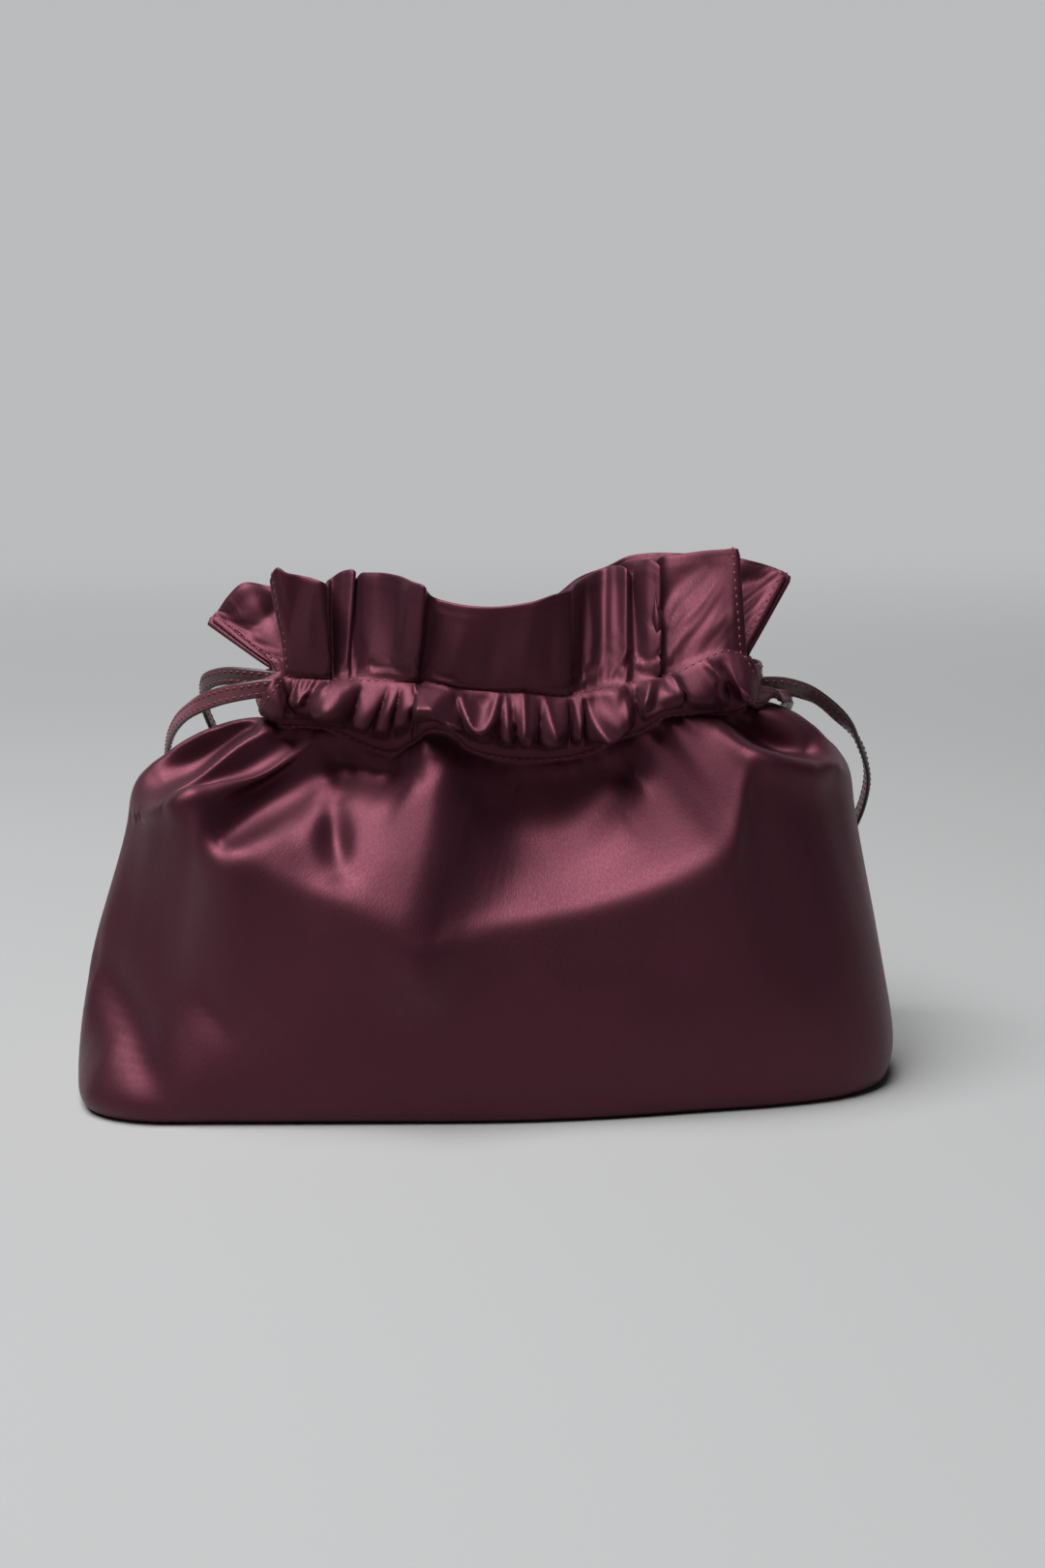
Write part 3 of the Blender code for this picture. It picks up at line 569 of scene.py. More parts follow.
def blurred(field, times):
    """A field on a grid of cloth, softened by its neighbours."""
    for _ in range(times):
        padded = np.pad(field, ((1, 1), (1, 1), (0, 0)), mode="edge")
        field = (padded[:-2, 1:-1] + padded[2:, 1:-1] + padded[1:-1, :-2] + padded[1:-1, 2:]
                 + 4 * padded[1:-1, 1:-1]) / 8
    return field


def outward(grid, side, blur=0):
    """Normals of a grid of cloth; side is -1 for the front and 1 for the back."""
    return blurred(unit(np.cross(np.gradient(grid, axis=1), np.gradient(grid, axis=0)) * (-side)), blur)


def calmed(row, times):
    """A row of points without its short waves; its two ends stay."""
    row = row.copy()
    for _ in range(times):
        row[1:-1] = (row[:-2] + 2 * row[1:-1] + row[2:]) / 4
    return row


def rounded(grid, middle, reach, times):
    """Softens the bend of the cloth across the rows around the middle one."""
    share = np.exp(-((np.arange(len(grid)) - middle) / reach) ** 2)[1:-1, None, None]
    for _ in range(times):
        grid = grid.copy()
        grid[1:-1] += (grid[:-2] - 2 * grid[1:-1] + grid[2:]) / 4 * share
    return grid


def station(points):
    return curve_through(points, SHARES) * MM


def ripple(shares, count, seed):
    """A smooth random wave between -1 and 1, with about count turns along the shares."""
    knots = np.random.RandomState(seed).uniform(-1.0, 1.0, count + 3)
    place = np.clip(shares, 0.0, 1.0) * count
    i = np.minimum(place.astype(int), count - 1)
    before, start, end, after = knots[i], knots[i + 1], knots[i + 2], knots[np.minimum(i + 3, count + 2)]
    return hermite(start, end, (end - before) / 2, (after - start) / 2, place - i)


def path_distance(spots, path):
    """Distance of each spot from a path, how far along it lies, and on which side."""
    best = np.full(len(spots), np.inf)
    along = np.zeros(len(spots))
    cross = np.zeros(len(spots))
    for k in range(len(path) - 1):
        start, run = path[k], path[k + 1] - path[k]
        t = np.clip(((spots - start) @ run) / max(run @ run, TINY), 0.0, 1.0)
        offset = spots - start - t[:, None] * run
        distance = np.linalg.norm(offset, axis=1)
        nearer = distance < best
        best[nearer] = distance[nearer]
        along[nearer] = (k + t[nearer]) / (len(path) - 1)
        cross[nearer] = (run[0] * offset[:, 1] - run[1] * offset[:, 0])[nearer]
    return best, along, np.sign(cross)


def fold(grid, normals, path, crisp=0.0, lean=0.0):
    """Raises the cloth along a path seen from the front, or presses it in for a negative height.

    Each point of the path is (x, z, reach, height). Crisp is 0 for a soft roll and 1 for a sharp
    edge, and lean makes the fold steeper on one side than on the other.
    """
    steps = np.linspace(0, 1, FOLD_SAMPLES)
    shape = curve_through(path, steps)
    spots = grid[:, :, (0, 2)].reshape(-1, 2) / MM
    distance, along, which = path_distance(spots, shape[:, :2])
    reach, height = (np.interp(along, steps, shape[:, k]) for k in (2, 3))
    ratio = distance / (reach * (1.0 + lean * which))
    soft = np.exp(-ratio**2)
    sharp = np.exp(-CRISP_FALL * (np.sqrt(ratio**2 + CRISP_ROUNDING) - CRISP_LEVEL))
    rise = height * (soft * (1 - crisp) + sharp * crisp)
    return normals * (rise.reshape(grid.shape[:2])[:, :, None] * MM)


class Side:
    """The outer cloth of one side of the pouch, as one grid from the bottom seam to the mouth."""

    def __init__(self, name, side, forms, stations, frill):
        self.name = name
        self.side = side
        self.forms = forms
        rows = {key: station([left, *stations[key], right]) for key, (left, right) in SEAM_POINTS.items()}
        self.low_row = rows.pop("low_row")
        self.shape_mouth(stations["high_row"], frill)
        body = self.make_body(**rows)
        casing = self.make_casing()
        self.grid = np.concatenate([body, casing[1:], self.make_frill()[1:]])

    def folds(self, part, grid, normals):
        return sum(fold(grid, normals, *form) for form in self.forms[part])

    def make_body(self, floor, foot, belly, crest):
        """From the bottom seam out to the foot, up the wall to the crest, and back to the neck."""
        seam = floor * (1, 0, 1)
        seam[:, 0] = floor[0, 0] + (floor[-1, 0] - floor[0, 0]) * SHARES
        base = loft([seam, floor * 0.5 + seam * 0.5, floor], (BASE_ROWS // 2, BASE_ROWS // 2))
        under = crest * UNDER_CREST - (0, 0, UNDER_CREST_DROP)
        slope = [self.slope_row(crest, t) for t in SLOPE_SHARES]
        corner = floor + (foot - floor) * CORNER_SHARE
        wall = loft([floor, corner, foot, belly, under, crest, *slope, self.low_row],
                    (CORNER_ROWS, *WALL_ROWS, *SLOPE_ROWS))
        grid = rounded(np.concatenate([base[:-1], wall]), CREST, CREST_REACH, CREST_SOFTNESS)
        normals = outward(grid, self.side, blur=6)
        room = smooth_step(grid[:, :, 2:], *FOLDS_BEGIN) * off_seam(SEAM_FADE)[None, :, None]
        room[-SLOPE_ROWS[-1]:] *= np.linspace(1.0, 0.0, SLOPE_ROWS[-1])[:, None, None]
        grid = grid + self.folds("body", grid, normals) * room + self.gathers(grid, normals)
        grid[:, :, 2] = np.maximum(grid[:, :, 2], OUTER_LIFT)
        return grid

    def gathers(self, grid, normals):
        """Small folds that run down from the lower stitch row and die out, the fine ones first."""
        down = np.linalg.norm(grid - grid[-1:], axis=2)
        spread = np.zeros(grid.shape[:2])
        for count, reach, height in GATHER_WAVES:
            wave = ripple(SHARES, count, 11 * count + self.side)
            spread += height * MM * wave * np.exp(-down / (reach * MM)) * (1 - np.exp(-down / GATHER_START))
        return normals * (spread * off_seam(SEAM_FADE))[:, :, None]

    def slope_row(self, crest, t):
        """Between crest and neck the cloth is scooped, apart from the shoulders, which are full."""
        inside = off_seam(SHOULDER_SPAN)
        scoop = MM * (SCOOP_DEPTH * smooth_step(FROM_SEAM, *SCOOP_SPAN) - SHOULDER_RISE * (1 - inside))
        row = crest + (self.low_row - crest) * t
        amount = scoop * 4 * t * (1 - t)
        row[:, 2] -= amount
        row[:, 1] -= self.side * amount * 0.5 * inside
        return row

    def make_casing(self):
        """The tunnel round the drawstrings, and cushions of cloth between tucks on it."""
        flat = loft([self.low_row, self.high_row], (CASING_ROWS,))
        rise = np.linspace(0.0, 1.0, CASING_ROWS + 1)[:, None]
        arch = np.sin(math.pi * rise)
        ends = 1 - off_seam(CASING_END)
        pull = np.where(SHARES < 0.5, *END_PULL)[None, :] * ends * arch**0.6
        flat[:, :, 0] += pull * MM
        flat[:, :, 1] += self.side * np.abs(pull) * MM
        normals = outward(flat, self.side, blur=8)
        room = CASING_ROOM * MM * arch**0.35 * (1 - 0.5 * ends)
        self.lanes = flat
        self.tunnel = flat + normals * room[:, :, None]
        x = flat[:, :, 0] / MM
        tucks = self.forms["tucks"]
        lines = [x_tuck + slant * (rise - 0.5) for x_tuck, slant, height, peak in tucks]
        puff = np.zeros_like(x)
        for left, right, (_, _, height, peak) in zip(lines, lines[1:], tucks):
            across = np.clip((x - left) / (right - left), 0.0, 1.0)
            under = smooth_step(rise, peak - PUFF_FOOT, peak - PUFF_SHOULDER)
            over = 1 - smooth_step(rise, peak, 1.0) ** 1.5
            cushion = height * (4 * across * (1 - across)) ** 0.5 * under * over
            puff = np.where((x >= left) & (x < right), cushion, puff)
        puffs = (normals + PUFF_DROOP) * (puff * off_seam(PUFF_FADE) * MM)[:, :, None]
        creases = self.folds("casing", flat, normals) * (arch**0.3)[:, :, None] * CREASE_GAIN
        return self.tunnel + (puffs + creases)

    def shape_mouth(self, high_row, knots):
        """The mouth's line, and the high row with as much cloth under each stretch of it.

        Each knot is the x where its column of cloth leaves the high row, then (x, y, z) at the top.
        """
        knots = np.array(knots, float)
        ends = knots[:, 1:] * MM
        steps = np.linalg.norm(np.diff(ends, axis=0), axis=1)
        at = running_total(steps) / steps.sum()
        self.mouth = curve_at(ends, at, SHARES)
        dense = curve_through(high_row, np.linspace(0.0, 1.0, 4 * COLUMNS)) * MM
        wanted = np.interp(SHARES, at, knots[:, 0]) * MM
        wanted[0], wanted[-1] = dense[0, 0], dense[-1, 0]
        wanted = calmed(wanted[:, None], FOOT_CALM)[:, 0]
        self.high_row = sampled(dense, dense[:, 0], wanted)

    def make_frill(self):
        """Pleats run up from the upper stitch row and open towards the mouth."""
        plain = calmed(self.mouth, PLAIN_TIMES)
        rise = np.linspace(0.0, 1.0, FRILL_ROWS + 1)[:, None, None]
        pleats = (self.mouth - plain) * PLEAT_DEPTH * rise**PLEAT_OPENING
        grid = self.high_row + (plain - self.high_row) * rise + pleats
        wave = ripple(SHARES, FRILL_WAVES, 5 + self.side)[None, :, None]
        wave = wave * np.exp(-rise * FRILL_WAVE_FALL) * FRILL_WAVE_HEIGHT * MM
        normals = outward(grid, self.side, blur=8)
        creases = self.folds("frill", grid, normals) * rise**0.5
        return grid + normals * wave * (rise > 0) + creases


def into_scene(name, data):
    """An object for a mesh, lamp or camera, linked into the scene."""
    obj = bpy.data.objects.new(name, data)
    bpy.context.scene.collection.objects.link(obj)
    return obj


def new_mesh(name, verts, faces, uv=None):
    mesh = bpy.data.meshes.new(name)
    mesh.from_pydata(np.asarray(verts).tolist(), [], np.asarray(faces).tolist())
    if uv is not None:
        layer = mesh.uv_layers.new(name="cloth")
        loops = np.empty(len(mesh.loops), int)
        mesh.loops.foreach_get("vertex_index", loops)
        layer.data.foreach_set("uv", np.asarray(uv)[loops].ravel())
    mesh.validate()
    mesh.shade_smooth()
    return into_scene(name, mesh)


def grid_faces(index, side):
    """The quads of a grid of point numbers, facing outwards."""
    quads = np.stack([index[:-1, :-1], index[:-1, 1:], index[1:, 1:], index[1:, :-1]], axis=2)
    quads = quads.reshape(-1, 4)
    return quads if side < 0 else quads[:, ::-1]


def by_region(values):
    """One value for each row that settles; the wall's fades into the slope's."""
    wall, slope, casing, frill = values
    rows = np.arange(SETTLE_FROM, ROWS)
    up_slope = (rows - CREST) / (LOW - CREST)
    result = wall + (slope - wall) * smooth_step(up_slope, 0.0, WALL_FADE)
    result = np.where(rows > LOW, casing, result)
    return np.where(rows > HIGH, frill, result)


def settle(front, back):
    """Lets the sewn cloth sag for a moment under a share of its weight; its seams keep their place."""
    both = np.stack([front.grid[SETTLE_FROM:], back.grid[SETTLE_FROM:]])
    rows, columns = both.shape[1:3]
    sewn = LOW - SETTLE_FROM + 1
    index = np.arange(2 * rows * columns).reshape(2, rows, columns)
    for edge in (0, -1):
        index[1, :sewn, edge] = index[0, :sewn, edge]
    tube = new_mesh("tube", both.reshape(-1, 3),
                    np.concatenate([grid_faces(index[0], -1), grid_faces(index[1], 1)]))
    hold = by_region(HOLD)
    hold[[0, LOW - SETTLE_FROM, HIGH - SETTLE_FROM]] = 1.0
    near_edge = np.concatenate([index[:, :, :EDGE_COLUMNS], index[:, :, -EDGE_COLUMNS:]], axis=2)
    share = np.clip((np.arange(SETTLE_FROM, ROWS) - LOW) / CASING_ROWS, 0.0, 1.0)
    spare = by_region(SPARE_WEIGHTS)
    spare = np.where((share > 0) & (share < 1), spare * np.sin(math.pi * share) ** 0.7, spare)
    for name, weights, at_edge in (("hold", hold, 1.0), ("spare", spare / max(SPARE_WEIGHTS), 0.0)):
        group = tube.vertex_groups.new(name=name)
        for row, weight in enumerate(weights):
            group.add(index[:, row].ravel().tolist(), float(weight), "REPLACE")
        group.add(near_edge.ravel().tolist(), at_edge, "REPLACE")
    cloth = tube.modifiers.new("settle", "CLOTH")
    for key, value in CLOTH_SETTINGS.items():
        setattr(cloth.settings, key, value)
    cloth.settings.vertex_group_mass = "hold"
    cloth.settings.vertex_group_shrink = "spare"
    cloth.settings.effector_weights.gravity = CLOTH_SHARE_OF_GRAVITY
    cloth.collision_settings.use_collision = False
    cloth.point_cache.frame_start = 1
    cloth.point_cache.frame_end = SETTLE_FRAMES
    scene = bpy.context.scene
    for step in range(1, SETTLE_FRAMES + 1):
        scene.frame_set(step)
    evaluated = tube.evaluated_get(bpy.context.evaluated_depsgraph_get())
    settled = np.empty(both.size)
    evaluated.data.vertices.foreach_get("co", settled)
    settled = settled.reshape(both.shape)
    scene.frame_set(1)
    bpy.data.objects.remove(tube)
    for edge in (0, -1):
        settled[1, :sewn, edge] = settled[0, :sewn, edge]
    moved = settled - both
    length = np.linalg.norm(moved, axis=3, keepdims=True)
    cap = by_region(MOVE_CAP)[None, :, None, None] * MM
    settled = both + moved * np.minimum(1.0, cap / np.maximum(length, TINY))
    front.grid[SETTLE_FROM:], back.grid[SETTLE_FROM:] = settled


def keep_round_straps(cloth):
    """The casing stays outside the room that the drawstrings need."""
    casing = cloth.grid[LOW:HIGH + 1]
    normals = outward(cloth.tunnel, cloth.side, blur=8)
    depth = ((casing - cloth.tunnel) * normals).sum(axis=2, keepdims=True)
    casing += normals * np.maximum(0.0, -depth)


def sink_seams(cloth):
    """The side seams are sewn inside out, so that the cloth turns in along them and puckers."""
    grid = cloth.grid
    normals = outward(grid, cloth.side, blur=4)
    from_left, from_right = to_edges(grid)
    rows = np.arange(ROWS)
    closed = 1 - smooth_step(rows, LOW - 3, LOW + 1)
    depth = SEAM_DEPTH * (1 + SEAM_PUCKER_SHARE * ripple(rows / ROWS, SEAM_PUCKERS, 3)) * closed
    moved = np.zeros_like(grid)
    for column, distance in ((0, from_left), (-1, from_right)):
        inward = -unit(normals[:, column] * (1, 0, 1))
        moved += (depth[:, None] * np.exp(-distance / SEAM_REACH))[:, :, None] * inward[:, None]
    apart = np.exp(-np.minimum(from_left, from_right) / SEAM_REACH) * closed[:, None]
    moved[:, :, 1] += cloth.side * SEAM_GAP * apart
    grid += moved
    grid[:BASE_ROWS, :, 1] = cloth.side * np.maximum(SEAM_GAP, cloth.side * grid[:BASE_ROWS, :, 1])


def edge_distance(grid):
    """How far each point of the open part lies from the slit edges or the top edge."""
    from_slit = np.minimum(*to_edges(grid))
    up = lengths(grid)
    open_part = smooth_step(np.arange(len(grid)), LOW + 1, LOW + 5)[:, None]
    return np.minimum(np.where(open_part > 0, from_slit / np.maximum(open_part, 0.05), 1.0),
                      up[-1:] - up)


def hemmed(cloth):
    """The doubled hem stands a little proud, and its stitch row draws it in."""
    distance = edge_distance(cloth.grid)
    hem = 1 - smooth_step(distance, HEM_WIDTH - HEM_FADE, HEM_WIDTH + HEM_FADE)
    groove = np.exp(-((distance - HEM_STITCH) / HEM_GROOVE_WIDTH) ** 2)
    normals = outward(cloth.grid, cloth.side, blur=2)
    cloth.grid += normals * (hem * HEM_STEP - groove * HEM_GROOVE)[:, :, None]
    return hem


def rim_numbers(rows, columns):
    """Row and column of each point round a grid's edge, and of its neighbour inside."""
    bottom = [(0, i, 1, i) for i in range(columns - 1)]
    right = [(j, columns - 1, j, columns - 2) for j in range(rows - 1)]
    top = [(rows - 1, i, rows - 2, i) for i in range(columns - 1, 0, -1)]
    left = [(j, 0, j, 1) for j in range(rows - 1, 0, -1)]
    return np.array(bottom + right + top + left)


def cloth_solid(name, outer, inner, side):
    """A closed sheet of cloth between two grids of points, with a rounded rim."""
    rows, columns = outer.shape[:2]
    count = rows * columns
    index = np.arange(count).reshape(rows, columns)
    faces = [grid_faces(index, side), grid_faces(index + count, -side)]
    j, i, j_inside, i_inside = rim_numbers(rows, columns).T
    middle = (outer + inner) / 2
    half = (outer[j, i] - inner[j, i]) / 2
    away = unit(middle[j, i] - middle[j_inside, i_inside])
    radius = np.linalg.norm(half, axis=1, keepdims=True)
    rings = [index[j, i]]
    verts = [outer.reshape(-1, 3), inner.reshape(-1, 3)]
    for k in range(1, RIM_STEPS):
        angle = math.pi * k / RIM_STEPS
        verts.append(middle[j, i] + half * math.cos(angle) + away * radius * math.sin(angle))
        rings.append(2 * count + (k - 1) * len(j) + np.arange(len(j)))
    rings.append(index[j, i] + count)
    for here, there in zip(rings[:-1], rings[1:]):
        quads = np.stack([here, there, np.roll(there, -1), np.roll(here, -1)], axis=1)
        faces.append(quads if side < 0 else quads[:, ::-1])
    uv = cloth_uv(outer)
    flat = uv.reshape(-1, 2)
    return new_mesh(name, np.concatenate(verts), np.concatenate(faces),
                    np.concatenate([flat, flat, *[uv[j, i]] * (RIM_STEPS - 1)]))


def cloth_uv(grid):
    """Where each point lies on the flat cloth, in metres from its lower left corner."""
    rows, columns = grid.shape[:2]
    width = np.tile(np.linspace(0.0, 1.0, columns) * PANEL_WIDTH, (rows, 1))
    height = np.repeat(lengths(grid).mean(axis=1)[:, None], columns, axis=1)
    return np.stack([width, height], axis=2)


def make_outer(cloth, satin):
    hem = hemmed(cloth)
    thickness = OUTER_THICKNESS + HEM_EXTRA * hem
    cloth.normals = outward(cloth.grid, cloth.side, blur=3)
    cloth.inner = cloth.grid - cloth.normals * thickness[:, :, None]
    obj = cloth_solid(f"{cloth.name}_outer_panel", cloth.grid, cloth.inner, cloth.side)
    obj.data.materials.append(satin)
    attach(obj, "root")
    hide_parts(f"outer_{cloth.name}_panel")
    return obj


def make_facing(cloth, satin):
    """The inner wall of the casing, and the frill's second layer."""
    face = cloth.inner - cloth.normals * LAYER_GAP
    arch = np.sin(math.pi * np.linspace(0, 1, CASING_ROWS + 1))[:, None, None]
    pleats = 0.5 + 0.5 * ripple(SHARES, FACING_PLEATS, 7 + cloth.side)[None, :, None]
    room = OUTER_THICKNESS + LAYER_GAP + (FACING_ROOM + FACING_PLEAT_DEPTH * pleats) * arch
    face[LOW:HIGH + 1] = cloth.lanes - outward(cloth.lanes, cloth.side, blur=8) * room
    part = (slice(LOW - FACING_ROWS_BELOW, ROWS - 1), slice(FACING_INSET, -FACING_INSET))
    face = face[part]
    cloth.facing = face - cloth.normals[part] * INNER_THICKNESS
    obj = cloth_solid(f"{cloth.name}_facing_cloth", face, cloth.facing, cloth.side)
    obj.data.materials.append(satin)
    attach(obj, "root")
    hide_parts(f"{cloth.name}_facing")


def make_lining(cloth, lining_cloth):
    """The lining hangs from the facing down to the bottom seam."""
    inner = blurred(cloth.inner, 2)[:LOW - FACING_ROWS_BELOW - 1:LINING_STEP, ::LINING_STEP]
    inner = inner[1:, 1:-1]
    normals = outward(inner, cloth.side, blur=2)
    face = inner - normals * 2 * LAYER_GAP
    face[:, :, 2] = np.maximum(face[:, :, 2], LINING_LIFT)
    obj = cloth_solid(f"{cloth.name}_lining_cloth", face, face - normals * INNER_THICKNESS, cloth.side)
    obj.data.materials.append(lining_cloth)
    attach(obj, "root")
    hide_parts(f"{cloth.name}_lining")


def held_run(side, height):
    """A drawstring's run through one casing from left to right, as (place, facing) pairs."""
    angle = np.linspace(math.pi, 0.0, NECK_SAMPLES)
    x = NECK_HALF_WIDTH * np.cos(angle)
    y = NECK_EDGE + (NECK_HALF_DEPTH - NECK_EDGE) * np.sin(angle) ** 2
    along = running_total(np.hypot(np.diff(x), np.diff(y)))
    wanted = np.linspace(0.0, along[-1], HELD_POINTS + 1)
    x, y = np.interp(wanted, along, x), np.interp(wanted, along, y)
    across = x / NECK_HALF_WIDTH
    drop = NECK_SAG * (1 - across**2) + NECK_LEFT_DROP * smooth_step(-across, 0.3, 1.0)
    places = np.stack([x + NECK_OFFSET, side * y, height - drop], axis=1)
    run = np.gradient(places, axis=0)
    facings = np.stack([run[:, 1], -run[:, 0], 0 * x], axis=1) * (-side)
    return list(zip(places, facings))


def turn_back(start, end, out):
    """The flat half turn across the slits from one casing into the other."""
    middle, radius = (start + end) / 2, (end - start) / 2
    length = np.linalg.norm(radius)
    points = []
    for k in range(1, TURN_POINTS + 1):
        angle = math.pi * k / (TURN_POINTS + 1)
        place = middle + out * TURN_DEPTH * math.sin(angle) - radius * math.cos(angle)
        facing = out * length * math.sin(angle) - radius / length * TURN_DEPTH * math.cos(angle)
        points.append((place, facing))
    return points


def strap_route(height, loop, exits_left):
    """One closed strap: both held runs, the half turn on one side and the free loop on the other."""
    front, back = held_run(-1, height), held_run(1, height)
    loop = [(np.array(place), facing) for place, facing in loop]
    if exits_left:
        turn = turn_back(front[-1][0], back[-1][0], RIGHT)
        return front[::-1] + loop + back + turn[::-1]
    turn = turn_back(front[0][0], back[0][0], LEFT)
    return back + loop + front[::-1] + turn


def round_curve(route):
    """Places and facings along the smooth closed curve through a strap's route, and its length."""
    knots = np.array([np.concatenate([place * MM, unit(facing)]) for place, facing in route])
    count = len(knots)
    wrapped = knots[np.arange(-LOOP_OVERLAP, count + LOOP_OVERLAP + 1) % count]
    times = knot_times(wrapped[:, :3])
    first, last = times[LOOP_OVERLAP], times[LOOP_OVERLAP + count]
    dense = curve_at(wrapped, times, np.linspace(first, last, LOOP_SAMPLES * count))
    along = lengths(dense[:, :3])
    wanted = np.linspace(0.0, along[-1], round(along[-1] / STRAP_STEP) + 1)[:-1]
    curve = sampled(dense, along, wanted)
    return curve[:, :3], curve[:, 3:], along[-1]


def strap_outline():
    """The strap's section, round the edges and pressed in along both stitch rows."""
    half_width, half_thickness = STRAP_WIDTH / 2, STRAP_THICKNESS / 2
    across = np.array(STRAP_PLACES)
    across = np.concatenate([across, [0.0], -across[::-1]])
    rise = (1 - np.abs(across) ** STRAP_SQUARENESS) ** STRAP_ROUNDING
    row = 1 - STRAP_STITCH_INSET / half_width
    groove = STRAP_GROOVE * np.exp(-((np.abs(across) - row) / STRAP_GROOVE_WIDTH) ** 2)
    rise = rise - groove + STRAP_CROWN * (1 - across**2)
    top = np.stack([across * half_width, rise * half_thickness], axis=1)
    left, right = (-half_width, 0.0), (half_width, 0.0)
    return np.concatenate([[left], top * (1, -1), [right], top[::-1]])


def make_strap(name, height, loop, exits_left, leather, thread):
    """One drawstring and its four stitch rows."""
    places, facings, length = round_curve(strap_route(height, loop, exits_left))
    run = unit(np.roll(places, -1, axis=0) - np.roll(places, 1, axis=0))
    across = unit(np.cross(run, facings))
    face = np.cross(across, run)
    outline = strap_outline()
    verts = (places[:, None] + across[:, None] * outline[None, :, :1]
             + face[:, None] * outline[None, :, 1:])
    count, sides = verts.shape[:2]
    index = np.arange(count * sides).reshape(count, sides)
    following = np.roll(index, -1, axis=0)
    faces = np.stack([index, following, np.roll(following, -1, axis=1), np.roll(index, -1, axis=1)],
                     axis=2).reshape(-1, 4)
    obj = new_mesh(f"drawstring_{name}_strap", verts.reshape(-1, 3), faces)
    outer_face = np.tile(smooth_step(outline[:, 1], *FACE_SPAN), count)
    cut_edge = np.tile(smooth_step(np.abs(outline[:, 0]), *PAINTED_SPAN), count)
    for label, values in (("outer_face", outer_face), ("cut_edge", cut_edge)):
        attribute = obj.data.attributes.new(label, "FLOAT", "POINT")
        attribute.data.foreach_set("value", values)
    obj.data.materials.append(leather)
    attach(obj, "root")
    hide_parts(f"drawstring_{name}")
    row = STRAP_WIDTH / 2 - STRAP_STITCH_INSET
    lines = [(places + across * inset + face * (turn * STRAP_THICKNESS / 2), face * turn, True)
             for turn in (1, -1) for inset in (row, -row)]
    stitches = make_stitches(f"drawstring_{name}_stitches", lines, thread)


def add_node(tree, kind, feeds=None, **settings):
    """A node with its settings; feeds holds its inputs, each a value or another node's output."""
    made = tree.nodes.new(kind)
    for key, value in settings.items():
        setattr(made, key, value)
    for label, value in (feeds or {}).items():
        if isinstance(value, bpy.types.NodeSocket):
            tree.links.new(value, made.inputs[label])
        else:
            made.inputs[label].default_value = value
    return made


def calculated(tree, operation, first, second):
    """The output of a Math node on two numbers or outputs."""
    return add_node(tree, "ShaderNodeMath", {0: first, 1: second}, operation=operation).outputs[0]


def stitch_tree(thread):
    """Stitches of one length along curves, each bent down into the cloth at both ends."""
    tree = bpy.data.node_groups.new("stitch_row", "GeometryNodeTree")
    tree.interface.new_socket("Geometry", in_out="INPUT", socket_type="NodeSocketGeometry")
    sizes = {"Pitch": STITCH_PITCH, "Length": STITCH_LENGTH, "Thickness": THREAD_WIDTH}
    inputs = {}
    for label, size in sizes.items():
        socket = tree.interface.new_socket(label, in_out="INPUT", socket_type="NodeSocketFloat")
        inputs[socket.identifier] = size
    tree.interface.new_socket("Geometry", in_out="OUTPUT", socket_type="NodeSocketGeometry")

    def node(kind, output, feeds=None, **settings):
        return add_node(tree, kind, feeds, **settings).outputs[output]

    given = add_node(tree, "NodeGroupInput").outputs
    length, thickness = given["Length"], given["Thickness"]
    curve = node("GeometryNodeMeshToCurve", "Curve", {"Mesh": given["Geometry"]})
    spaced = node("GeometryNodeResampleCurve", "Curve", {"Curve": curve, "Length": given["Pitch"]},
                  mode="LENGTH")
    radius = calculated(tree, "MULTIPLY", thickness, 0.5)
    rod = node("GeometryNodeMeshCylinder", "Mesh",
               {"Vertices": THREAD_SIDES, "Side Segments": THREAD_PARTS, "Radius": radius, "Depth": length})
    place = node("GeometryNodeInputPosition", "Position")
    parts = add_node(tree, "ShaderNodeSeparateXYZ", {"Vector": place}).outputs
    reach = calculated(tree, "DIVIDE", parts["Z"], length)
    bend = calculated(tree, "MULTIPLY", calculated(tree, "MULTIPLY", reach, reach), -STITCH_BOW)
    dip = calculated(tree, "MULTIPLY", bend, thickness)
    sunk = calculated(tree, "SUBTRACT", dip, parts["X"])
    lying = node("ShaderNodeCombineXYZ", "Vector", {"X": parts["Z"], "Y": parts["Y"], "Z": sunk})
    laid = node("GeometryNodeSetPosition", "Geometry", {"Geometry": rod, "Position": lying})
    run = node("GeometryNodeInputTangent", "Tangent")
    upward = node("GeometryNodeInputNamedAttribute", "Attribute", {"Name": "up"}, data_type="FLOAT_VECTOR")
    turned = node("FunctionNodeAxesToRotation", "Rotation",
                  {"Primary Axis": run, "Secondary Axis": upward}, primary_axis="X", secondary_axis="Z")
    placed = node("GeometryNodeInstanceOnPoints", "Instances",
                  {"Points": spaced, "Instance": laid, "Rotation": turned})
    real = node("GeometryNodeRealizeInstances", "Geometry", {"Geometry": placed})
    coloured = node("GeometryNodeSetMaterial", "Geometry", {"Geometry": real, "Material": thread})
    add_node(tree, "NodeGroupOutput", {"Geometry": coloured})
    return tree, inputs


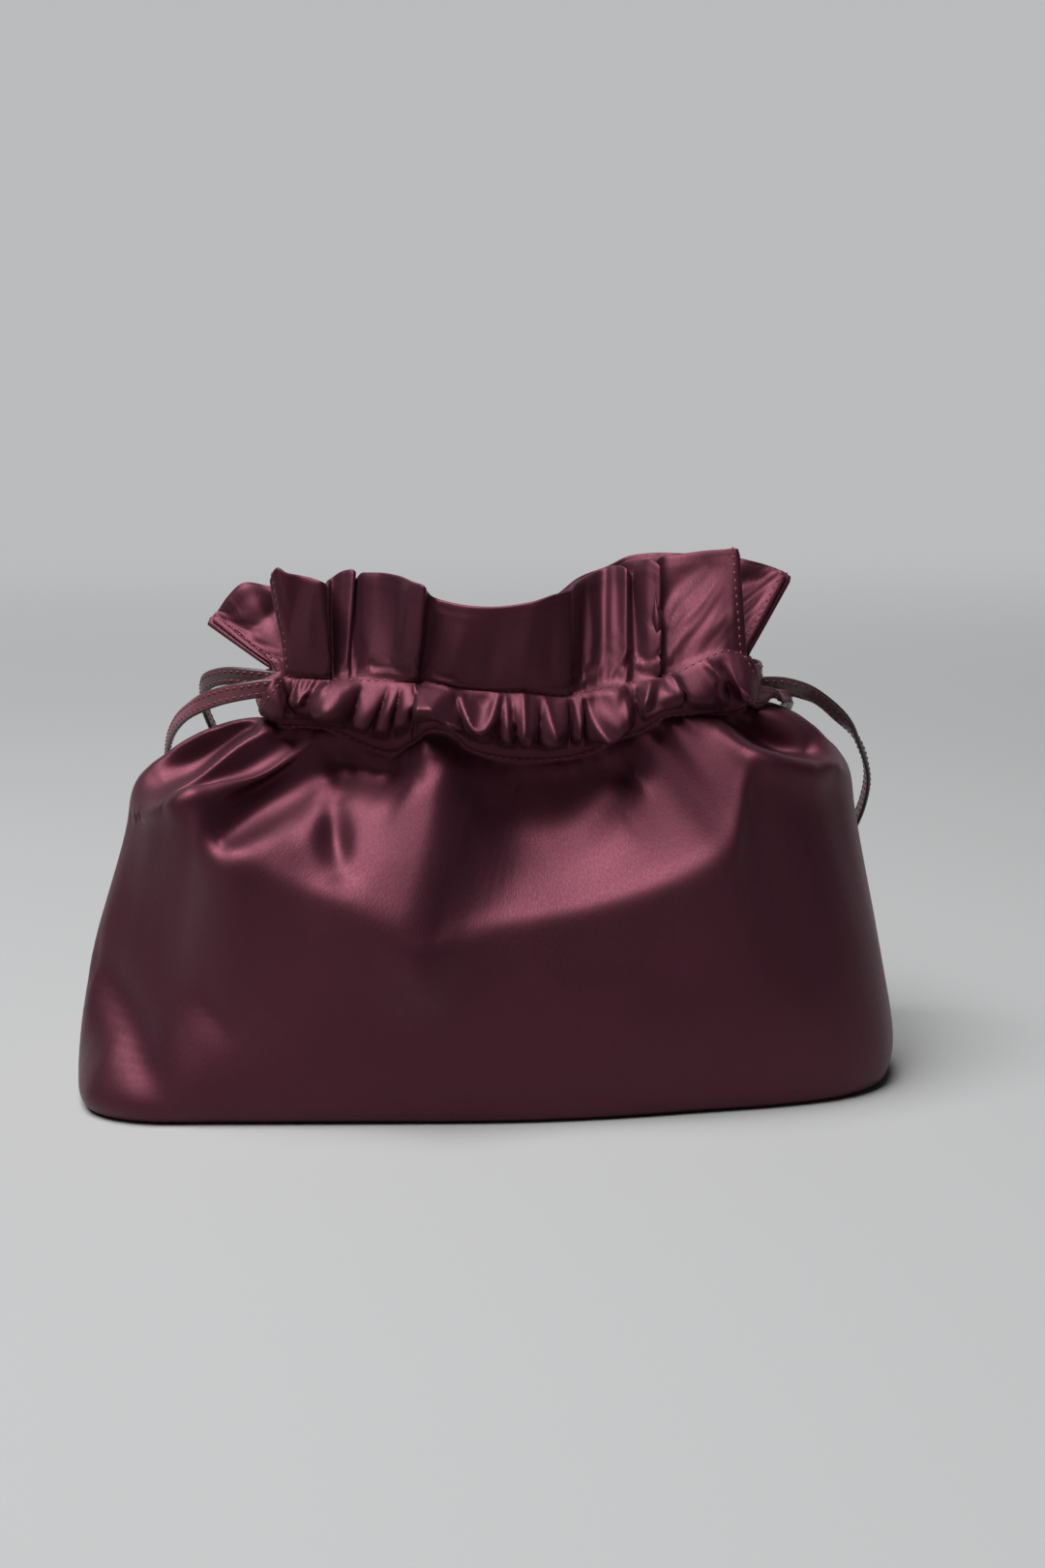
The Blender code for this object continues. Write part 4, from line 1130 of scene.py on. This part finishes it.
def make_stitches(name, lines, thread):
    """Rows of stitches along (points, directions up from the cloth, closed) lines."""
    verts, ups, edges = [], [], []
    for points, up, closed in lines:
        first, count = len(verts), len(points)
        verts.extend(points.tolist())
        ups.extend(up.tolist())
        edges.extend((first + k, first + (k + 1) % count) for k in range(count if closed else count - 1))
    mesh = bpy.data.meshes.new(name)
    mesh.from_pydata(verts, edges, [])
    attribute = mesh.attributes.new("up", "FLOAT_VECTOR", "POINT")
    attribute.data.foreach_set("vector", np.array(ups).ravel())
    guide = into_scene(name, mesh)
    row = guide.modifiers.new("stitches", "NODES")
    row.node_group, inputs = stitch_tree(thread)
    for identifier, size in inputs.items():
        row[identifier] = size
    evaluated = guide.evaluated_get(bpy.context.evaluated_depsgraph_get())
    made = bpy.data.meshes.new_from_object(evaluated)
    guide.modifiers.clear()
    guide.data = made
    made.shade_smooth()
    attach(guide, "root")
    return guide


def hem_line(grid, ups, right):
    """The stitch line inside one slit edge: its points, and the way up from the cloth."""
    data = np.concatenate([grid, ups], axis=2)
    if right:
        data = data[:, ::-1]
    along = to_edges(data[:, :, :3])[0]
    line = np.array([sampled(row, at, (HEM_STITCH,))[0] for row, at in zip(data, along)])
    return line[:, :3], unit(line[:, 3:]), False


def make_cloth_stitches(cloth, thread):
    """The casing's two rows, and the hems of the slits on both faces."""
    normals = outward(cloth.grid, cloth.side)
    lines = [(cloth.grid[row, 3:-3], normals[row, 3:-3], False) for row in (LOW, HIGH)]
    for grid, ups, foot in ((cloth.grid, normals, LOW),
                            (cloth.facing, -outward(cloth.facing, cloth.side), FACING_ROWS_BELOW)):
        first = foot + SLIT_START
        lines += [hem_line(grid[first:], ups[first:], right) for right in (False, True)]
    obj = make_stitches(f"{cloth.name}_stitches", lines, thread)


class Finish:
    """A material and the nodes that colour it; its even values are set on the shader itself."""

    def __init__(self, name, values):
        self.material = bpy.data.materials.new(name)
        self.material.use_nodes = True
        self.tree = self.material.node_tree
        self.shader = self.tree.nodes["Principled BSDF"]
        for label, value in values.items():
            self.shader.inputs[label].default_value = value

    def node(self, kind, feeds=None, **settings):
        return add_node(self.tree, kind, feeds, **settings)

    def feed(self, label, output):
        self.tree.links.new(output, self.shader.inputs[label])

    def place(self, scale, uv=None):
        """Where a pattern is read: the cloth's own map or the piece's own space, in metres."""
        if uv:
            source = self.node("ShaderNodeUVMap", uv_map=uv).outputs["UV"]
        else:
            source = self.node("ShaderNodeTexCoord").outputs["Object"]
        return self.node("ShaderNodeMapping", {"Scale": scale, "Vector": source}).outputs["Vector"]

    def noise(self, scale, uv=None, detail=3.0):
        feeds = {"Scale": 1.0, "Detail": detail, "Vector": self.place(scale, uv)}
        return self.node("ShaderNodeTexNoise", feeds).outputs["Fac"]

    def ranged(self, value, low, high, start=0.3, end=0.7):
        """Takes a pattern from start to end over to low to high."""
        feeds = {"From Min": start, "From Max": end, "To Min": low, "To Max": high, "Value": value}
        return self.node("ShaderNodeMapRange", feeds).outputs["Result"]

    def softly(self, value, start, end):
        """0 at start and 1 at end, with a soft S between."""
        share = self.ranged(value, 0, 1, start, end)
        share.node.interpolation_type = "SMOOTHSTEP"
        return share

    def blend(self, share, first, second):
        """A colour between two others; each is a colour or an output."""
        ends = [(*colour, 1.0) if isinstance(colour, tuple) else colour for colour in (first, second)]
        feeds = {"Factor": share, 6: ends[0], 7: ends[1]}
        return self.node("ShaderNodeMix", feeds, data_type="RGBA").outputs[2]

    def shade(self, pattern, shades):
        return self.blend(self.ranged(pattern, 0, 1), *shades)

    def attribute(self, name):
        return self.node("ShaderNodeAttribute", attribute_name=name).outputs["Fac"]

    def bumps(self, *layers):
        """Bump from (pattern, depth in metres) layers, the coarse ones first."""
        feeds = {}
        for pattern, depth in layers:
            feeds.update({"Strength": 1.0, "Distance": depth, "Height": pattern})
            feeds = {"Normal": self.node("ShaderNodeBump", feeds).outputs["Normal"]}
        self.feed("Normal", feeds["Normal"])


def satin_finish():
    """Heavy satin: fine threads that run up the cloth, and a broad pink sheen."""
    satin = Finish("burgundy_satin", {
        "Roughness": SATIN_ROUGHNESS, "Specular IOR Level": 0.9, "Specular Tint": SATIN_TINT,
        "Anisotropic": SATIN_SPREAD, "Anisotropic Rotation": 0.25,
        "Sheen Weight": 0.04, "Sheen Roughness": 0.5, "Sheen Tint": SHEEN_TINT})
    satin.feed("Base Color", satin.shade(satin.noise((30, 30, 30), "cloth"), SATIN_SHADES))
    threads = satin.noise((1500, 600, 1), "cloth", 2.0)
    weft = satin.noise((420, 2400, 1), "cloth", 2.0)
    soft = satin.noise((75, 55, 1), "cloth")
    satin.feed("Roughness", satin.ranged(threads, SATIN_ROUGHNESS - SATIN_UNEVENNESS,
                                         SATIN_ROUGHNESS + SATIN_UNEVENNESS))
    tangent = satin.node("ShaderNodeTangent", direction_type="UV_MAP", uv_map="cloth")
    satin.feed("Tangent", tangent.outputs[0])
    satin.bumps((soft, 0.15 * MM), (threads, 0.05 * MM), (weft, 0.02 * MM))
    return satin.material


def lining_finish():
    """Plain weave: threads across and up, one over the other."""
    lining = Finish("plain_lining", {"Roughness": 0.7, "Specular IOR Level": 0.25})
    lining.feed("Base Color", lining.shade(lining.noise((60, 60, 60), "cloth"), LINING_SHADES))
    lining.bumps(*[(lining.noise(scale, "cloth"), 0.03 * MM)
                   for scale in ((1800, 300, 1), (300, 1800, 1))])
    return lining.material


def leather_finish():
    """Smooth strap leather, grey on its inner face and dark along its painted edges."""
    leather = Finish("strap_leather", {"Roughness": 0.36, "Specular IOR Level": 0.6})
    face = leather.shade(leather.noise((90, 90, 90)), LEATHER_SHADES)
    inside = leather.blend(leather.attribute("outer_face"), LEATHER_INSIDE, face)
    leather.feed("Base Color", leather.blend(leather.attribute("cut_edge"), inside, LEATHER_EDGE))
    leather.feed("Roughness", leather.ranged(leather.noise((400, 400, 400)), 0.32, 0.46))
    grain = leather.node("ShaderNodeTexVoronoi", {"Scale": 1.0, "Vector": leather.place((1900, 1900, 1900))},
                         feature="DISTANCE_TO_EDGE")
    leather.bumps((leather.noise((160, 160, 160)), 0.1 * MM), (grain.outputs["Distance"], 0.04 * MM))
    return leather.material


def thread_finish():
    """Twisted polyester thread."""
    thread = Finish("burgundy_thread", {"Roughness": 0.45, "Specular IOR Level": 0.5})
    tone = thread.noise((700, 700, 700))
    thread.feed("Base Color", thread.shade(tone, THREAD_SHADES))
    thread.bumps((tone, 0.1 * MM))
    return thread.material


def make_camera():
    flat = math.cos(VIEW_ELEVATION)
    back = Vector((math.sin(VIEW_AZIMUTH) * flat, -math.cos(VIEW_AZIMUTH) * flat,
                   math.sin(VIEW_ELEVATION)))
    data = bpy.data.cameras.new("view")
    data.sensor_fit = "VERTICAL"
    data.sensor_height = SENSOR_HEIGHT
    data.lens = VIEW_LENS
    camera = into_scene("view", data)
    camera.location = VIEW_TARGET + back * VIEW_DISTANCE
    camera.rotation_euler = (-back).to_track_quat("-Z", "Y").to_euler()
    bpy.context.scene.camera = camera


def make_stage():
    """A grey floor that rolls up into a backdrop, with painted shade near the camera: a dark floor colour
    there for the satin to mirror.
    """
    profile = [(-BACKDROP_WIDTH, 0.0), (BACKDROP_START, 0.0)]
    for k in range(1, BEND_STEPS + 1):
        angle = math.pi / 2 * k / BEND_STEPS
        profile.append((BACKDROP_START + BACKDROP_BEND * math.sin(angle),
                        BACKDROP_BEND * (1 - math.cos(angle))))
    profile.append((BACKDROP_START + BACKDROP_BEND, BACKDROP_WIDTH))
    verts = [(x, y, z) for y, z in profile for x in (-BACKDROP_WIDTH, BACKDROP_WIDTH)]
    faces = [(2 * k, 2 * k + 1, 2 * k + 3, 2 * k + 2) for k in range(len(profile) - 1)]
    floor = new_mesh("backdrop", verts, faces)
    paper = Finish("backdrop_paper", {"Roughness": 0.95, "Specular IOR Level": 0.1})
    y = paper.node("ShaderNodeSeparateXYZ", {"Vector": paper.place((1, 1, 1))}).outputs["Y"]
    # Painted shade: the floor's colour darkens towards the camera
    paper.feed("Base Color", paper.blend(paper.softly(y, DARK_FLOOR, PALE_FLOOR),
                                         PAINTED_SHADE_FLOOR_COLOUR, FLOOR_COLOUR))
    rays = paper.node("ShaderNodeLightPath").outputs
    seen_by = rays["Is Camera Ray"]
    for ray in ("Is Glossy Ray", "Is Transmission Ray"):
        seen_by = calculated(paper.tree, "ADD", seen_by, rays[ray])
    share = calculated(paper.tree, "MULTIPLY", paper.softly(y, FADE_START, FADE_END), seen_by)
    glow = paper.node("ShaderNodeEmission", {"Color": (*BACKDROP_COLOUR, 1.0)})
    mixed = paper.node("ShaderNodeMixShader",
                       {"Fac": share, 1: paper.shader.outputs[0], 2: glow.outputs[0]})
    paper.tree.links.new(mixed.outputs[0], paper.tree.nodes["Material Output"].inputs["Surface"])
    floor.data.materials.append(paper.material)


def make_light():
    """One large soft lamp overhead, a little to the left, and a dim room."""
    world = bpy.data.worlds.new("room")
    world.use_nodes = True
    room = world.node_tree.nodes["Background"]
    room.inputs["Color"].default_value = ROOM_COLOUR
    room.inputs["Strength"].default_value = ROOM_LIGHT
    bpy.context.scene.world = world
    data = bpy.data.lights.new("softbox", "AREA")
    data.shape = "RECTANGLE"
    data.size = data.size_y = SOFTBOX_SIDE
    data.energy = SOFTBOX_POWER
    lamp = into_scene("softbox", data)
    lamp.location = SOFTBOX_AIM + SOFTBOX_DIRECTION.normalized() * SOFTBOX_DISTANCE
    lamp.rotation_euler = (SOFTBOX_AIM - lamp.location).to_track_quat("-Z", "Y").to_euler()
    bpy.context.scene.view_settings.view_transform = "Standard"


def main():
    make_camera()
    leather, thread = leather_finish(), thread_finish()
    make_strap("left", LANE_MIDDLE + LANE_HALF, LEFT_LOOP, True, leather, thread)
    make_strap("right", LANE_MIDDLE - LANE_HALF, RIGHT_LOOP, False, leather, thread)
    make_stage()
    make_light()
    front = Side("front", -1, FRONT_FORMS, FRONT_STATIONS, FRONT_FRILL)
    back = Side("back", 1, BACK_FORMS, BACK_STATIONS, BACK_FRILL)
    settle(front, back)
    satin, lining_cloth = satin_finish(), lining_finish()
    for cloth in (front, back):
        keep_round_straps(cloth)
        sink_seams(cloth)
        outer = make_outer(cloth, satin)
        make_facing(cloth, satin)
        make_lining(cloth, lining_cloth)
        make_cloth_stitches(cloth, thread)


main()
